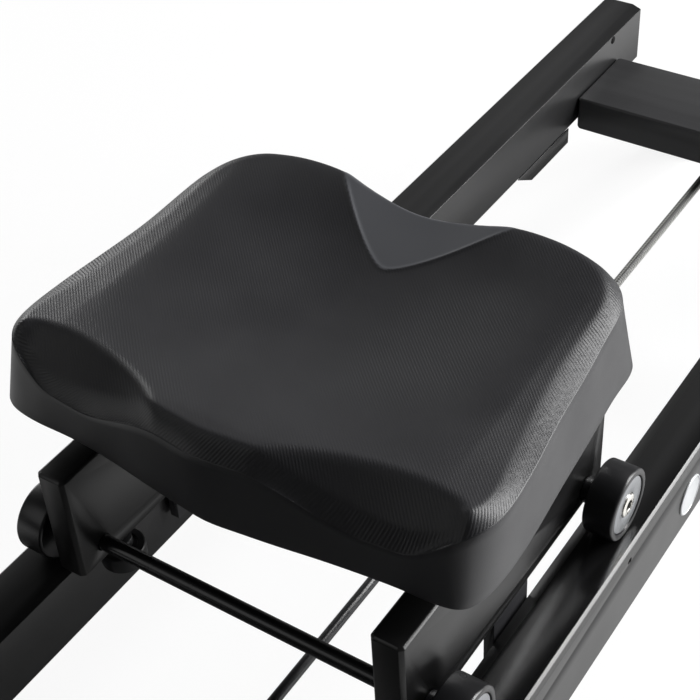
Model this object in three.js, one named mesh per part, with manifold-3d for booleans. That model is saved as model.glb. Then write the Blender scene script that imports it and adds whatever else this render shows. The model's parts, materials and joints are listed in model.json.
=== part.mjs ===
// A water rowing machine: a seat carriage on two rails, a front frame with the water tank,
// the drive strap with its handle, the recoil cord and bungee, the footrests and the monitor.
// Millimetres. X points right, Y points to the rear, Z points up from the floor.
import * as THREE from "three";
import Module from "manifold-3d";
import { mergeVertices } from "three/addons/utils/BufferGeometryUtils.js";

// General
const gap = 0.3; // between two pieces that touch
const overrun = 3; // how far a cut passes the face that it leaves
const boardEase = 1.5; // eased edge of a board
const turnedEase = 0.8; // eased edge of a turned piece
const machineLength = 2130; // front board to the rear edge of the rear feet

// Rails
const railTop = 260; // running surface above the floor
const railHeight = 60;
const railWidth = 34;
const railSpacing = 229; // between the rails' inner faces
const railBevelWidth = 8; // bevel along the inner top edge
const railBevelDrop = 3;
const railEase = 1.6; // bevel along the other edges
const railFootBevelWidth = 8; // bevel along the inner bottom edge
const railFootBevelRise = 10.5;
const railHoleRadius = 2.2; // small hole in each rail's outer face
const railHoleDepth = 8;
const railHoleBehindSeat = 183; // behind the seat blocks' front face
const railHoleBelowTop = 11;

// Rear stand and cross board
const legReach = 246; // rear end of the rails to the rear edge of the feet
const legTopLength = 50;
const legFootLength = 55;
const legInset = 2; // leg top to the rails' rear end
const footHeight = 12;
const footLength = 75;
const footOverhang = 3; // foot past the leg at the sides
const spreaderLength = 77;
const spreaderHeight = 29.5;
const spreaderDrop = 29; // running surface to the board's top
const spreaderToRailEnd = 41;
const stopLength = 88;
const stopDrop = 5; // below the rails
const stopWidth = 22;
const stopRamp = 24; // slanted front end
const stopRise = 9; // reach up the rails' bottom bevel
const stopToSpreader = 13;

// Seat carriage
const seatToRailEnd = 754; // side blocks' front face to the rails' rear end, at rest
const blockLength = 214;
const blockThickness = 19;
const blockHeight = 74.5;
const blockLift = 10; // running surface to the blocks' bottom
const blockToRail = 0.3; // a block's outer face inside of the rail's inner face
const axleRadius = 4.75;
const axleCollarRadius = 8;
const frontAxleInset = 20;
const rearAxleInset = 22;
const rollerRadius = 22;
const rollerWidth = 18.6;
const rollerToBlock = 8.4;
const rollerFaceDepth = 1.6; // recess of the roller's outer face
const rollerRim = 4;
const axleTipInset = 1.2; // axle end to the roller's outer face
const basePlateThickness = 15.6;
const basePlateFrontInset = 46; // behind the blocks' front face
const basePlateRearInset = 12;

// Glide brackets and guide rollers
const bracketPlate = 4;
const bracketEdge = 2.5; // bracket plate to the block's outer face
const bracketPlateWidth = 12;
const bracketPlateStart = 22;
const guideRadius = 13.5;
const guideWidth = 12;
const guideAbove = 2; // above the running surface
const guideInset = 37; // behind the block's front face
const guidePinRadius = 4;
const guideHeadRadius = 7;
const guideHeadHeight = 3;
const guideCollarRadius = 6.5;
const glideStart = 90.5;
const glideLength = 37;
const glideThickness = 6.5;
const glideInset = 1.8; // glide to the rail's inner face
const glideDrop = 30; // below the running surface

// Seat cushion: plan outline of the seam as (half width, behind the blocks' front face)
const cushionOutline = [
  [0, 5.5], [20, 7.5], [40, 10], [60, 13], [80, 15.5], [100, 17.5], [114, 19], [124, 21.5],
  [133, 25], [140, 32], [143.5, 42], [144.5, 55], [144, 70], [143, 85], [141.5, 100],
  [139.8, 118], [138.2, 138], [136.6, 157], [135, 172], [133, 186], [129.5, 198], [123, 208.5],
  [113, 217], [100, 223], [85, 226.5], [68, 227.5], [55, 226], [42, 222], [28, 218],
  [14, 215.5], [0, 214.5],
];
const cushionMiddle = 115; // behind the blocks' front face
const cushionSeamHeight = 47.5; // above the cushion's bottom
const cushionFrontRise = 11.5; // rim above the seam at the front
const cushionRearRise = 16; // rim above the seam at the rear
const cushionShoulder = 9; // width of the rounded edge
const cushionShift = -3; // cushion's middle against the machine's middle
const cushionInsets = [0, 0.8, 3, 9, 14.5, 19.5, 24.5, 31, 42, 58, 78];
const sideDrop = 10; // how far the rim is lower at the sides' middle
const sideDropMiddle = 110;
const sideDropHalf = 105;
const sideDropAt = 130;
const dishDepth = 20.6;
const dishMiddle = 120;
const dishHalfWidth = 115;
const dishFront = 100; // from the dish's middle to its front end
const dishRear = 100;
const scoopBack = 42; // the crease's farthest point behind the blocks' front face
const scoopFront = 8;
const scoopPeak = 110; // the crease's farthest point from the middle line
const scoopInner = 28;
const scoopOuter = 140;
const creaseRise = 10; // crease above the seam
const seamDip = 19.5; // how far the seam dips below the scoops
const seamDipFrom = 22;
const seamDipFull = 88;
const seamDipFullEnd = 104;
const seamDipTo = 145;
const seamDipStart = 20; // how far back the dip holds before it fades
const seamDipEnd = 60;
const valleyRise = 10; // height of the tailbone valley's sides
const valleyHalf = 53;
const valleyFloor = -1.5; // against the seam, at the valley's front end
const valleyStart = 172;
const valleyClimb = 5.5; // rise from the valley's front end to its rear end
const valleyLength = 44;
const valleyFade = 35;
const rearDip = 3;
const rearDipHalf = 45;
const creaseBlend = 2.5;
const cushionDrawIn = 0.8; // bottom edge inside the seam
const cushionBottomRound = 2.4;
// Squarer bottom corners: middle x and y, how far the bottom stands out there, and how far that spreads
const cushionFlares = [[-140, 32, 11, 30], [130, 23, 5, 16], [116, 215, 12, 15], [-116, 215, 12, 15]];

// Front frame
const frontBoardThickness = 25;
const carrierThickness = 25;
const sideThickness = 22;
const sideHeight = 140;
const sideToTank = 12;
const boardFloorGap = 12;
const shelfThickness = 18;
const shelfTop = 78;
const notchInCarrierWidth = 60;
const notchInCarrierBelow = 6; // below the recoil cord
const deckWidth = 140;
const deckThickness = 15;
const deckAboveShaft = 4;
const wheelRadius = 30;
const wheelWidth = 20;
const wheelFloorGap = 5;
const wheelBoltRadius = 5;
const wheelHeadRadius = 9;
const wheelHeadHeight = 5;

// Water tank
const tankRadius = 235;
const tankFlange = 10;
const tankFlangeThickness = 6;
const tankHeight = 150;
const tankWall = 4;
const tankCorner = 30;
const tankClearance = 15; // to the boards in front and behind
const gasketThickness = 2.4;
const cupRadius = 18;
const cupHeight = 12;
const cupFloor = 4;
const bossRadius = 26;
const bossHeight = 10;
const bossDepth = 8;
const plugOffset = 150;
const plugRadius = 15;
const plugHeadRadius = 21;
const plugHeadHeight = 9;
const plugGripHeight = 6;
const plugStem = 12;

// Paddle and spool
const shaftRadius = 8;
const hubRadius = 22;
const hubLength = 50;
const hubLift = 2;
const bladeReach = 190;
const bladeHeight = 42;
const bladeThickness = 4;
const bladeCount = 6;
const spoolFlange = 2.4;
const spoolDivider = 3;
const spoolFlangeRadius = 39;
const recoilFlangeRadius = 24;
const drumRadius = 30;
const recoilDrumRadius = 11.7;
const shaftAboveSpool = 4;

// Strap, handle and strap tower
const strapWidth = 20;
const strapThickness = 1.6;
const strapPlay = 2; // groove wider than the strap
const strapWrapTurns = 0.8;
const strapTwistStart = 22;
const lowerPulleyRadius = 20;
const lowerPulleyBehindCarrier = 25;
const upperPulleyRadius = 16;
const pulleyFlange = 2;
const pulleyLip = 3;
const pulleyPinRadius = 4;
const handleHeight = 505;
const handleLength = 460;
const handleRadius = 12;
const gripRadius = 16;
const gripLength = 175;
const gripTaper = 8;
const handleBehindPulley = 52;
const clampWidth = 24;
const clampWall = 5;
const clampTab = 12;
const clampTabHeight = 6;
const cheekSpacing = 34;
const cheekThickness = 4;
const cheekFootBelow = 22; // below the lower idler's middle
const cheekFootReach = 22;
const cheekWaist = 26;
const cheekAbovePulley = 24;
const cheekFrontBelow = 52;
const ledgeReach = 18;
const ledgeThickness = 9;
const towerPlateWidth = 90;
const towerPlateThickness = 4;

// Recoil cord and bungee
const cordRadius = 3.5;
const cordBelowRail = 73.5; // running surface to the cord's middle
const cordPlay = 1; // drum groove wider than the cord, at each side
const cordWrapTurns = 0.7;
const idlerRadius = 12;
const idlerLip = 4.5;
const idlerWidth = 14;
const idlerBehindCarrier = 40;
const linkRadius = 8;
const linkLength = 44;
const linkBehindSeat = 300; // link's front behind the blocks' front face, at rest
const anchorWidth = 34;
const anchorThickness = 4;
const anchorAbove = 34; // plate's top above the cord
const anchorBelow = 14;
const knotRadius = 9;
const knotLength = 16;
const cordSides = 10;

// Footrests
const footboardInner = 28; // from the middle
const footboardWidth = 120;
const footboardLength = 290;
const footboardThickness = 14;
const footboardAngle = (50 * Math.PI) / 180; // above the horizontal
const footboardHeelBehind = 145; // heel edge behind the carrier board
const gussetThickness = 20;
const gussetFrontGap = 5;
const heelSlotWidth = 12;
const heelSlotStart = 30;
const heelSlotLength = 170;
const heelPlateThickness = 5;
const heelPlateLength = 95;
const heelPlateMargin = 10;
const heelStart = 14; // heel rest above the heel edge, at rest
const heelLipHeight = 34;
const heelLipThickness = 7;
const heelTongueDepth = 9;
const heelTongueLength = 60;
const heelTongueStart = 24;

// Monitor
const armBlockHeight = 60;
const armBlockBelowTop = 14;
const armBlockFront = 22;
const armBlockLength = 26;
const armRadius = 8;
const armReach = 46; // forwards from the block
const armRise = 92; // above the cheeks' top
const hingeEarRadius = 8;
const hingeEarThickness = 5;
const hingePinRadius = 3;
const lugWidth = 15;
const caseWidth = 124;
const caseHeight = 84;
const caseDepth = 24;
const caseCorner = 12;
const caseEase = 2.5;
const caseAboveHinge = 15;
const monitorTilt = (28 * Math.PI) / 180;
const screenWidth = 100;
const screenHeight = 46;
const screenTopMargin = 8;
const screenThickness = 1.8;
const screenRecess = 2.4;
const buttonRadius = 6.5;
const buttonLength = 6;
const buttonStand = 2.2; // above the case's face
const buttonTravelRoom = 2;
const buttonOffset = 24;
const buttonAboveEdge = 15;

// Counts
const turnSegments = 24;
const smallSegments = 16;
const tankSegments = 44;
const cornerSteps = 4;

// Places that follow from the sizes
const frontFace = -machineLength / 2;
const railEnd = machineLength / 2 - legReach;
const seatY = railEnd - seatToRailEnd;
const railInner = railSpacing / 2;
const railOuter = railInner + railWidth;
const railBottom = railTop - railHeight;
const tankOuter = tankRadius + tankFlange;
const tankY = frontFace + frontBoardThickness + tankClearance + tankOuter;
const carrierFront = tankY + tankOuter + tankClearance;
const carrierRear = carrierFront + carrierThickness;
const sideInner = tankOuter + sideToTank;
const sideOuter = sideInner + sideThickness;
const tankBottom = shelfTop + gap;
const tankTop = tankBottom + tankHeight;
const shellHeight = (tankHeight - gasketThickness - 2 * gap) / 2;
const spoolBottom = tankTop + bossHeight + gap;
const recoilGroove = 2 * (cordRadius + cordPlay);
const strapGroove = strapWidth + strapPlay;
const recoilZ = spoolBottom + spoolFlange + recoilGroove / 2;
const dividerTop = spoolBottom + spoolFlange + recoilGroove + spoolDivider;
const strapZ = dividerTop + strapGroove / 2;
const spoolTop = dividerTop + strapGroove + spoolFlange;
const shaftTop = spoolTop + shaftAboveSpool;
const deckBottom = shaftTop + deckAboveShaft;
const cordZ = railTop - cordBelowRail;
const blockOuter = railInner - blockToRail;
const blockInner = blockOuter - blockThickness;
const blockBottom = railTop + blockLift;
const blockTop = blockBottom + blockHeight;
const axleZ = railTop + gap + rollerRadius;
const axleYs = { front: seatY + frontAxleInset, rear: seatY + blockLength - rearAxleInset };
const rollerInner = blockOuter + rollerToBlock;
const rollerOuter = rollerInner + rollerWidth;
const cushionBottom = blockTop + basePlateThickness + 2 * gap;
const spreaderRear = railEnd - spreaderToRailEnd;
const spreaderFront = spreaderRear - spreaderLength;
const strapStand = gap + strapThickness / 2; // drum face to the strap's middle
const cordStand = gap + cordRadius; // drum face to the cord's middle
const strapLineX = drumRadius + strapStand;
const cordLineX = -(recoilDrumRadius + cordStand);
const lowerPulleyY = carrierRear + lowerPulleyBehindCarrier;
const lowerPulleyZ = strapZ + strapStand + lowerPulleyRadius;
const strapUpY = lowerPulleyY + lowerPulleyRadius + strapStand;
const upperPulleyY = strapUpY + strapStand + upperPulleyRadius;
const upperPulleyZ = handleHeight - strapStand - upperPulleyRadius;
const handleY = upperPulleyY + handleBehindPulley;
const cordDownY = carrierRear + idlerBehindCarrier;
const upperIdlerY = cordDownY - cordStand - idlerRadius;
const upperIdlerZ = recoilZ - cordStand - idlerRadius;
const lowerIdlerY = cordDownY + cordStand + idlerRadius;
const lowerIdlerZ = cordZ + cordStand + idlerRadius;
const cheekInner = cheekSpacing / 2;
const cheekOuter = cheekInner + cheekThickness;
const cheekTop = upperPulleyZ + cheekAbovePulley;
const hingeY = carrierRear + armBlockFront - armReach;
const hingeZ = cheekTop + armRise;

const wasm = await Module();
wasm.setup();

const X = new THREE.Vector3(1, 0, 0);
const Y = new THREE.Vector3(0, 1, 0);
const Z = new THREE.Vector3(0, 0, 1);
const mirrored = { left: -1, right: 1 };

const machine = new THREE.Group();

// Adds one named piece with a material of its own.
function add(name, geometry, look, parent = machine) {
  const [color, roughness, metalness, opacity = 1] = look;
  const material = new THREE.MeshStandardMaterial({ color, roughness, metalness });
  material.opacity = opacity;
  material.transparent = opacity < 1;
  const mesh = new THREE.Mesh(geometry, material);
  mesh.name = name;
  parent.add(mesh);
  return mesh;
}

// The closed solid of a geometry, with its shared corners merged.
function solidOf(geometry) {
  const bare = geometry.index ? geometry.toNonIndexed() : geometry.clone();
  bare.deleteAttribute("normal");
  bare.deleteAttribute("uv");
  const merged = mergeVertices(bare);
  const vertProperties = merged.attributes.position.array;
  const triVerts = new Uint32Array(merged.index.array);
  return new wasm.Manifold(new wasm.Mesh({ numProp: 3, vertProperties, triVerts }));
}

function geometryOf(solid) {
  const { vertProperties, triVerts } = solid.getMesh();
  const geometry = new THREE.BufferGeometry();
  geometry.setAttribute("position", new THREE.BufferAttribute(new Float32Array(vertProperties), 3));
  geometry.setIndex(new THREE.BufferAttribute(new Uint32Array(triVerts), 1));
  geometry.computeVertexNormals();
  return geometry;
}

function join(first, ...others) {
  return geometryOf(others.reduce((all, one) => all.add(solidOf(one)), solidOf(first)));
}

function cut(first, ...others) {
  return geometryOf(others.reduce((all, one) => all.subtract(solidOf(one)), solidOf(first)));
}

function shapeOf(points) {
  return new THREE.Shape(points.map(([a, b]) => new THREE.Vector2(a, b)));
}

// Prisms: an outline of (y, z), (x, z) or (x, y) points, drawn out along the third axis.
function prismX(points, x0, x1) {
  const geometry = new THREE.ExtrudeGeometry(shapeOf(points), { depth: x1 - x0, bevelEnabled: false });
  geometry.applyMatrix4(new THREE.Matrix4().makeBasis(Y, Z, X));
  return geometry.translate(x0, 0, 0);
}

function prismY(points, y0, y1) {
  const geometry = new THREE.ExtrudeGeometry(shapeOf(points), { depth: y1 - y0, bevelEnabled: false });
  geometry.applyMatrix4(new THREE.Matrix4().makeBasis(X, Z, Y.clone().negate()));
  return geometry.translate(0, y1, 0);
}

function block([x0, y0, z0], [x1, y1, z1]) {
  const geometry = new THREE.BoxGeometry(x1 - x0, y1 - y0, z1 - z0);
  return geometry.translate((x0 + x1) / 2, (y0 + y1) / 2, (z0 + z1) / 2);
}

// An upright board with eased edges, between its low and high corners.
function board([x0, y0, z0], [x1, y1, z1], ease = boardEase) {
  const halfX = (x1 - x0) / 2 - ease;
  const halfY = (y1 - y0) / 2 - ease;
  const shape = shapeOf([
    [-halfX + ease, -halfY], [halfX - ease, -halfY], [halfX, -halfY + ease], [halfX, halfY - ease],
    [halfX - ease, halfY], [-halfX + ease, halfY], [-halfX, halfY - ease], [-halfX, -halfY + ease],
  ]);
  const geometry = new THREE.ExtrudeGeometry(shape, {
    depth: z1 - z0 - 2 * ease,
    bevelThickness: ease,
    bevelSize: ease,
    bevelSegments: 1,
  });
  return geometry.translate((x0 + x1) / 2, (y0 + y1) / 2, z0 + ease);
}

// A turned piece: the profile's points are (radius, distance along the axis).
function turned(profile, axis, segments = turnSegments) {
  const points = profile.map(([radius, along]) => new THREE.Vector2(radius, along));
  const geometry = new THREE.LatheGeometry(points, segments);
  if (axis === X) geometry.rotateZ(-Math.PI / 2);
  if (axis === Z) geometry.rotateX(Math.PI / 2);
  return geometry;
}

function rod(radius, from, to, axis, segments = smallSegments, ease = turnedEase) {
  const low = [[0, from], [radius - ease, from], [radius, from + ease]];
  const high = [[radius, to - ease], [radius - ease, to], [0, to]];
  return turned([...low, ...high], axis, segments);
}

function bore(radius, from, to, axis, segments = smallSegments) {
  return turned([[0, from], [radius, from], [radius, to], [0, to]], axis, segments);
}

// A ring between two radii, with its outer edges eased.
function ring(inner, outer, from, to, axis, segments = turnSegments) {
  const low = [[inner, from], [outer - turnedEase, from], [outer, from + turnedEase]];
  const high = [[outer, to - turnedEase], [outer - turnedEase, to], [inner, to], [inner, from]];
  return turned([...low, ...high], axis, segments);
}

// The points of a quarter or other arc about (a, b).
function arc(a, b, radius, from, to, steps = cornerSteps) {
  const points = [];
  for (let i = 0; i <= steps; i += 1) {
    const angle = from + ((to - from) * i) / steps;
    points.push([a + radius * Math.cos(angle), b + radius * Math.sin(angle)]);
  }
  return points;
}

// A round cord along a curve.
function cordAlong(curve, radius, steps) {
  const shape = shapeOf(arc(0, 0, radius, 0, 2 * Math.PI * (1 - 1 / cordSides), cordSides - 1));
  return new THREE.ExtrudeGeometry(shape, { steps, bevelEnabled: false, extrudePath: curve });
}

// A flat strap along points, each with the direction of its width.
function strapAlong(points, widths, width, thickness) {
  const positions = [];
  const index = [];
  points.forEach((point, i) => {
    const before = points[Math.max(i - 1, 0)];
    const after = points[Math.min(i + 1, points.length - 1)];
    const ahead = after.clone().sub(before).normalize();
    const side = widths[i].clone().addScaledVector(ahead, -widths[i].dot(ahead)).normalize();
    const face = new THREE.Vector3().crossVectors(ahead, side);
    for (const [s, f] of [[-1, -1], [1, -1], [1, 1], [-1, 1]]) {
      const corner = point.clone().addScaledVector(side, (s * width) / 2);
      corner.addScaledVector(face, (f * thickness) / 2);
      positions.push(...corner.toArray());
    }
  });
  for (let i = 0; i + 1 < points.length; i += 1)
    for (let k = 0; k < 4; k += 1) {
      const [a, b] = [4 * i + k, 4 * i + ((k + 1) % 4)];
      index.push(a, b, b + 4, a, b + 4, a + 4);
    }
  const last = 4 * (points.length - 1);
  index.push(0, 2, 1, 0, 3, 2, last, last + 1, last + 2, last, last + 2, last + 3);
  const geometry = new THREE.BufferGeometry();
  geometry.setAttribute("position", new THREE.Float32BufferAttribute(positions, 3));
  geometry.setIndex(index);
  geometry.computeVertexNormals();
  return geometry;
}

// Looks: colour, roughness, metalness and, where the piece is clear, opacity.
const blackFoam = ["#26262a", 0.7, 0];
const blackWood = ["#1c1c1e", 0.45, 0];
const blackSteel = ["#17171a", 0.35, 0.6];
const blackPlastic = ["#141416", 0.5, 0];
const blackRubber = ["#0f0f10", 0.8, 0];
const steel = ["#b9bcc0", 0.3, 0.9];
const webbing = ["#1b1b1d", 0.85, 0];
const clearShell = ["#cfdde2", 0.08, 0, 0.35];
const screenGlass = ["#0b0d10", 0.1, 0];

// Rails: a board on edge with a shallow bevel on the inner top edge.
function addRails() {
  const holeY = seatY + railHoleBehindSeat;
  const holeZ = railTop - railHoleBelowTop;
  for (const [side, sign] of Object.entries(mirrored)) {
    const profile = [
      [railInner, railBottom + railFootBevelRise],
      [railInner + railFootBevelWidth, railBottom],
      [railOuter - railEase, railBottom],
      [railOuter, railBottom + railEase],
      [railOuter, railTop - railEase],
      [railOuter - railEase, railTop],
      [railInner + railBevelWidth, railTop],
      [railInner, railTop - railBevelDrop],
    ];
    const rail = prismY(profile.map(([x, z]) => [sign * x, z]), carrierRear + gap, railEnd);
    const hole = bore(railHoleRadius, railOuter - railHoleDepth, railOuter + overrun, X);
    hole.translate(0, holeY, holeZ);
    if (sign < 0) hole.rotateY(Math.PI).translate(0, 0, 2 * holeZ);
    add(`rail_${side}`, cut(rail, hole), blackWood);
  }
}

// The cross board, the travel stops, the slanting rear legs and their rubber feet.
function addRearStand() {
  const top = railTop - spreaderDrop;
  const inner = railInner - gap;
  const spreader = board([-inner, spreaderFront, top - spreaderHeight], [inner, spreaderRear, top]);
  add("rear_spreader", spreader, blackWood);
  const stopRear = spreaderFront - stopToSpreader;
  const stopTop = railBottom + stopRise;
  const stopOutline = [
    [stopRear - stopLength, stopTop],
    [stopRear - stopLength + stopRamp, railBottom - stopDrop],
    [stopRear, railBottom - stopDrop],
    [stopRear, stopTop],
  ];
  const bevelSlope = railFootBevelRise / railFootBevelWidth;
  const clearOfRail = [
    [railInner - overrun, railBottom + railFootBevelRise - 2 * gap + overrun * bevelSlope],
    [railInner + railFootBevelWidth, railBottom - 2 * gap],
    [railOuter, railBottom - 2 * gap],
    [railOuter, railTop],
    [railInner - overrun, railTop],
  ];
  const legTop = railBottom - gap;
  const legRear = railEnd - legInset;
  const footRear = railEnd + legReach;
  const legFootRear = footRear - (footLength - legFootLength) / 2;
  const legOutline = [
    [legRear, legTop],
    [legRear - legTopLength, legTop],
    [legFootRear - legFootLength, footHeight + gap],
    [legFootRear, footHeight + gap],
  ];
  for (const [side, sign] of Object.entries(mirrored)) {
    const across = (a, b) => [Math.min(sign * a, sign * b), Math.max(sign * a, sign * b)];
    const stop = prismX(stopOutline, ...across(railInner, railInner + stopWidth));
    const above = clearOfRail.map(([x, z]) => [sign * x, z]);
    const rail = prismY(above, stopRear - stopLength - overrun, stopRear + overrun);
    add(`stop_block_${side}`, cut(stop, rail), blackRubber);
    add(`rear_leg_${side}`, prismX(legOutline, ...across(railInner, railOuter)), blackWood);
    const [low, high] = across(railInner - footOverhang, railOuter + footOverhang);
    const foot = board([low, footRear - footLength, 0], [high, footRear, footHeight]);
    add(`rear_foot_${side}`, foot, blackRubber);
  }
}

// The side blocks with their axles and rollers, and the board that carries the cushion.
function addCarriage() {
  const ends = [seatY, seatY + blockLength];
  const holes = Object.values(axleYs).map((y) =>
    bore(axleRadius + gap, -rollerOuter, rollerOuter, X).translate(0, y, axleZ),
  );
  for (const [side, sign] of Object.entries(mirrored)) {
    const [low, high] = sign < 0 ? [-blockOuter, -blockInner] : [blockInner, blockOuter];
    const whole = board([low, ends[0], blockBottom], [high, ends[1], blockTop]);
    add(`side_block_${side}`, cut(whole, ...holes), blackWood);
  }
  const reach = rollerOuter - axleTipInset;
  for (const [end, y] of Object.entries(axleYs)) {
    const collars = Object.values(mirrored).map((sign) => {
      const [near, far] = [sign * (blockOuter + gap), sign * (rollerInner - gap)];
      return bore(axleCollarRadius, Math.min(near, far), Math.max(near, far), X);
    });
    const axle = join(rod(axleRadius, -reach, reach, X), ...collars);
    add(`axle_${end}`, axle.translate(0, y, axleZ), steel);
    for (const [side, sign] of Object.entries(mirrored)) {
      const boreRadius = axleRadius + gap;
      const rim = rollerRadius - rollerRim;
      const profile = [
        [boreRadius, rollerInner],
        [rollerRadius - turnedEase, rollerInner],
        [rollerRadius, rollerInner + turnedEase],
        [rollerRadius, rollerOuter - turnedEase],
        [rollerRadius - turnedEase, rollerOuter],
        [rim, rollerOuter],
        [rim - rollerFaceDepth, rollerOuter - rollerFaceDepth],
        [boreRadius, rollerOuter - rollerFaceDepth],
        [boreRadius, rollerInner],
      ];
      const roller = turned(profile, X);
      if (sign < 0) roller.rotateZ(Math.PI);
      add(`roller_${end}_${side}`, roller.translate(0, y, axleZ), blackRubber);
    }
  }
  const plateHalf = blockOuter - gap;
  const plateLow = [-plateHalf, ends[0] + basePlateFrontInset, blockTop + gap];
  const plateHigh = [plateHalf, ends[1] - basePlateRearInset, blockTop + gap + basePlateThickness];
  add("seat_base_plate", board(plateLow, plateHigh), blackPlastic);
}

// Under each block a bracket carries an upright glide beside the rail and the guide roller's pin.
function addBrackets() {
  const plateTop = blockBottom - gap;
  const plateBottom = plateTop - bracketPlate;
  const outer = blockOuter - bracketEdge;
  const guideX = railInner - gap - guideRadius;
  const guideY = seatY + guideInset;
  const guideTop = railTop + guideAbove;
  const guideBottom = guideTop - guideWidth;
  const headTop = guideBottom - gap;
  const glideRear = seatY + glideStart + glideLength;
  const plateFront = seatY + bracketPlateStart;
  const glideOuter = railInner - glideInset;
  const glideLow = [glideOuter - glideThickness, seatY + glideStart, railTop - glideDrop];
  for (const [side, sign] of Object.entries(mirrored)) {
    const plate = block([outer - bracketPlateWidth, plateFront, plateBottom], [outer, glideRear, plateTop]);
    const glide = block(glideLow, [glideOuter, glideRear, plateTop]);
    const pin = bore(guidePinRadius, headTop - guideHeadHeight, plateTop - bracketPlate / 2, Z);
    const collar = bore(guideCollarRadius, guideTop + gap, plateTop - bracketPlate / 2, Z);
    const head = bore(guideHeadRadius, headTop - guideHeadHeight, headTop, Z);
    for (const part of [pin, collar, head]) part.translate(guideX, guideY, 0);
    const bracket = join(plate, pin, collar, head, glide);
    const roller = ring(guidePinRadius + gap, guideRadius, guideBottom, guideTop, Z, turnSegments);
    roller.translate(guideX, guideY, 0);
    if (sign < 0) {
      bracket.applyMatrix4(new THREE.Matrix4().makeScale(-1, 1, 1));
      roller.translate(-2 * guideX, 0, 0);
    }
    add(`glide_bracket_${side}`, sign < 0 ? turnedInsideOut(bracket) : bracket, blackSteel);
    add(`guide_roller_${side}`, roller, blackPlastic);
  }
}

// A mirrored geometry has its faces turned round again.
function turnedInsideOut(geometry) {
  const order = geometry.index.array;
  for (let i = 0; i < order.length; i += 3) [order[i + 1], order[i + 2]] = [order[i + 2], order[i + 1]];
  geometry.computeVertexNormals();
  return geometry;
}

function smooth(from, to, value) {
  const t = Math.min(Math.max((value - from) / (to - from), 0), 1);
  return t * t * (3 - 2 * t);
}

// The seam's height above the cushion's bottom; it dips below the scoops and at the rear.
function seamHeight(x, y) {
  const half = Math.abs(x);
  const front = smooth(seamDipFrom, seamDipFull, half) * (1 - smooth(seamDipFullEnd, seamDipTo, half));
  const dip = seamDip * front * (1 - smooth(seamDipStart, seamDipEnd, y));
  const middle = Math.exp(-((x / rearDipHalf) ** 2));
  const rear = rearDip * middle * smooth(valleyStart, valleyStart + valleyLength, y);
  return cushionSeamHeight - dip - rear;
}

// The lower of two heights, rounded over where they cross.
function lowerOf(a, b) {
  const h = Math.max(0, 1 - Math.abs(a - b) / (2 * creaseBlend));
  return Math.min(a, b) - (h * h * creaseBlend) / 2;
}

// The crease of a scoop: how far behind the blocks' front face it runs.
function creaseAt(half) {
  if (half <= scoopInner || half >= scoopOuter) return scoopFront;
  const inward = Math.max(0, 1 - ((half - scoopPeak) / (scoopInner - scoopPeak)) ** 2) ** (4 / 5);
  const outward = Math.max(0, 1 - ((half - scoopPeak) / (scoopOuter - scoopPeak)) ** 4) ** (1 / 2);
  return scoopFront + (scoopBack - scoopFront) * (half < scoopPeak ? inward : outward);
}

// The seat's top above the cushion's bottom: a dish with two scoops and a valley for the tailbone.
function topHeight(x, y) {
  const half = Math.abs(x);
  const back = y / (dishMiddle + dishRear);
  const rise = cushionFrontRise + (cushionRearRise - cushionFrontRise) * back;
  const beside = Math.max(0, 1 - ((y - sideDropMiddle) / sideDropHalf) ** 2);
  const rim = cushionSeamHeight + rise - sideDrop * beside * (x / sideDropAt) ** 2;
  const across = Math.max(0, 1 - (half / dishHalfWidth) ** 2);
  const ahead = y < dishMiddle ? ((dishMiddle - y) / dishFront) ** 2 : ((y - dishMiddle) / dishRear) ** 3;
  const dish = rim - dishDepth * (across * Math.max(0, 1 - ahead)) ** (3 / 2);
  const facet = cushionSeamHeight + creaseRise - (creaseAt(half) - y);
  const climb = valleyClimb * ((y - valleyStart) / valleyLength);
  const floor = cushionSeamHeight + valleyFloor + climb + valleyRise * (x / valleyHalf) ** 2;
  const valley = floor + valleyFade * (1 - smooth(valleyStart - valleyFade, valleyStart - creaseBlend, y));
  const scooped = y < scoopBack + overrun && half > scoopInner ? lowerOf(dish, facet) : dish;
  return y > valleyStart - valleyFade ? lowerOf(scooped, valley) : scooped;
}

// How far the bottom edge stands out past the seam near its corners.
function cornerFlare(x, y) {
  let flare = 0;
  for (const [cornerX, cornerY, amount, reach] of cushionFlares) {
    const away = ((x - cornerX) / reach) ** 2 + ((y - cornerY) / reach) ** 2;
    flare += amount * Math.exp(-away);
  }
  return flare;
}

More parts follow.
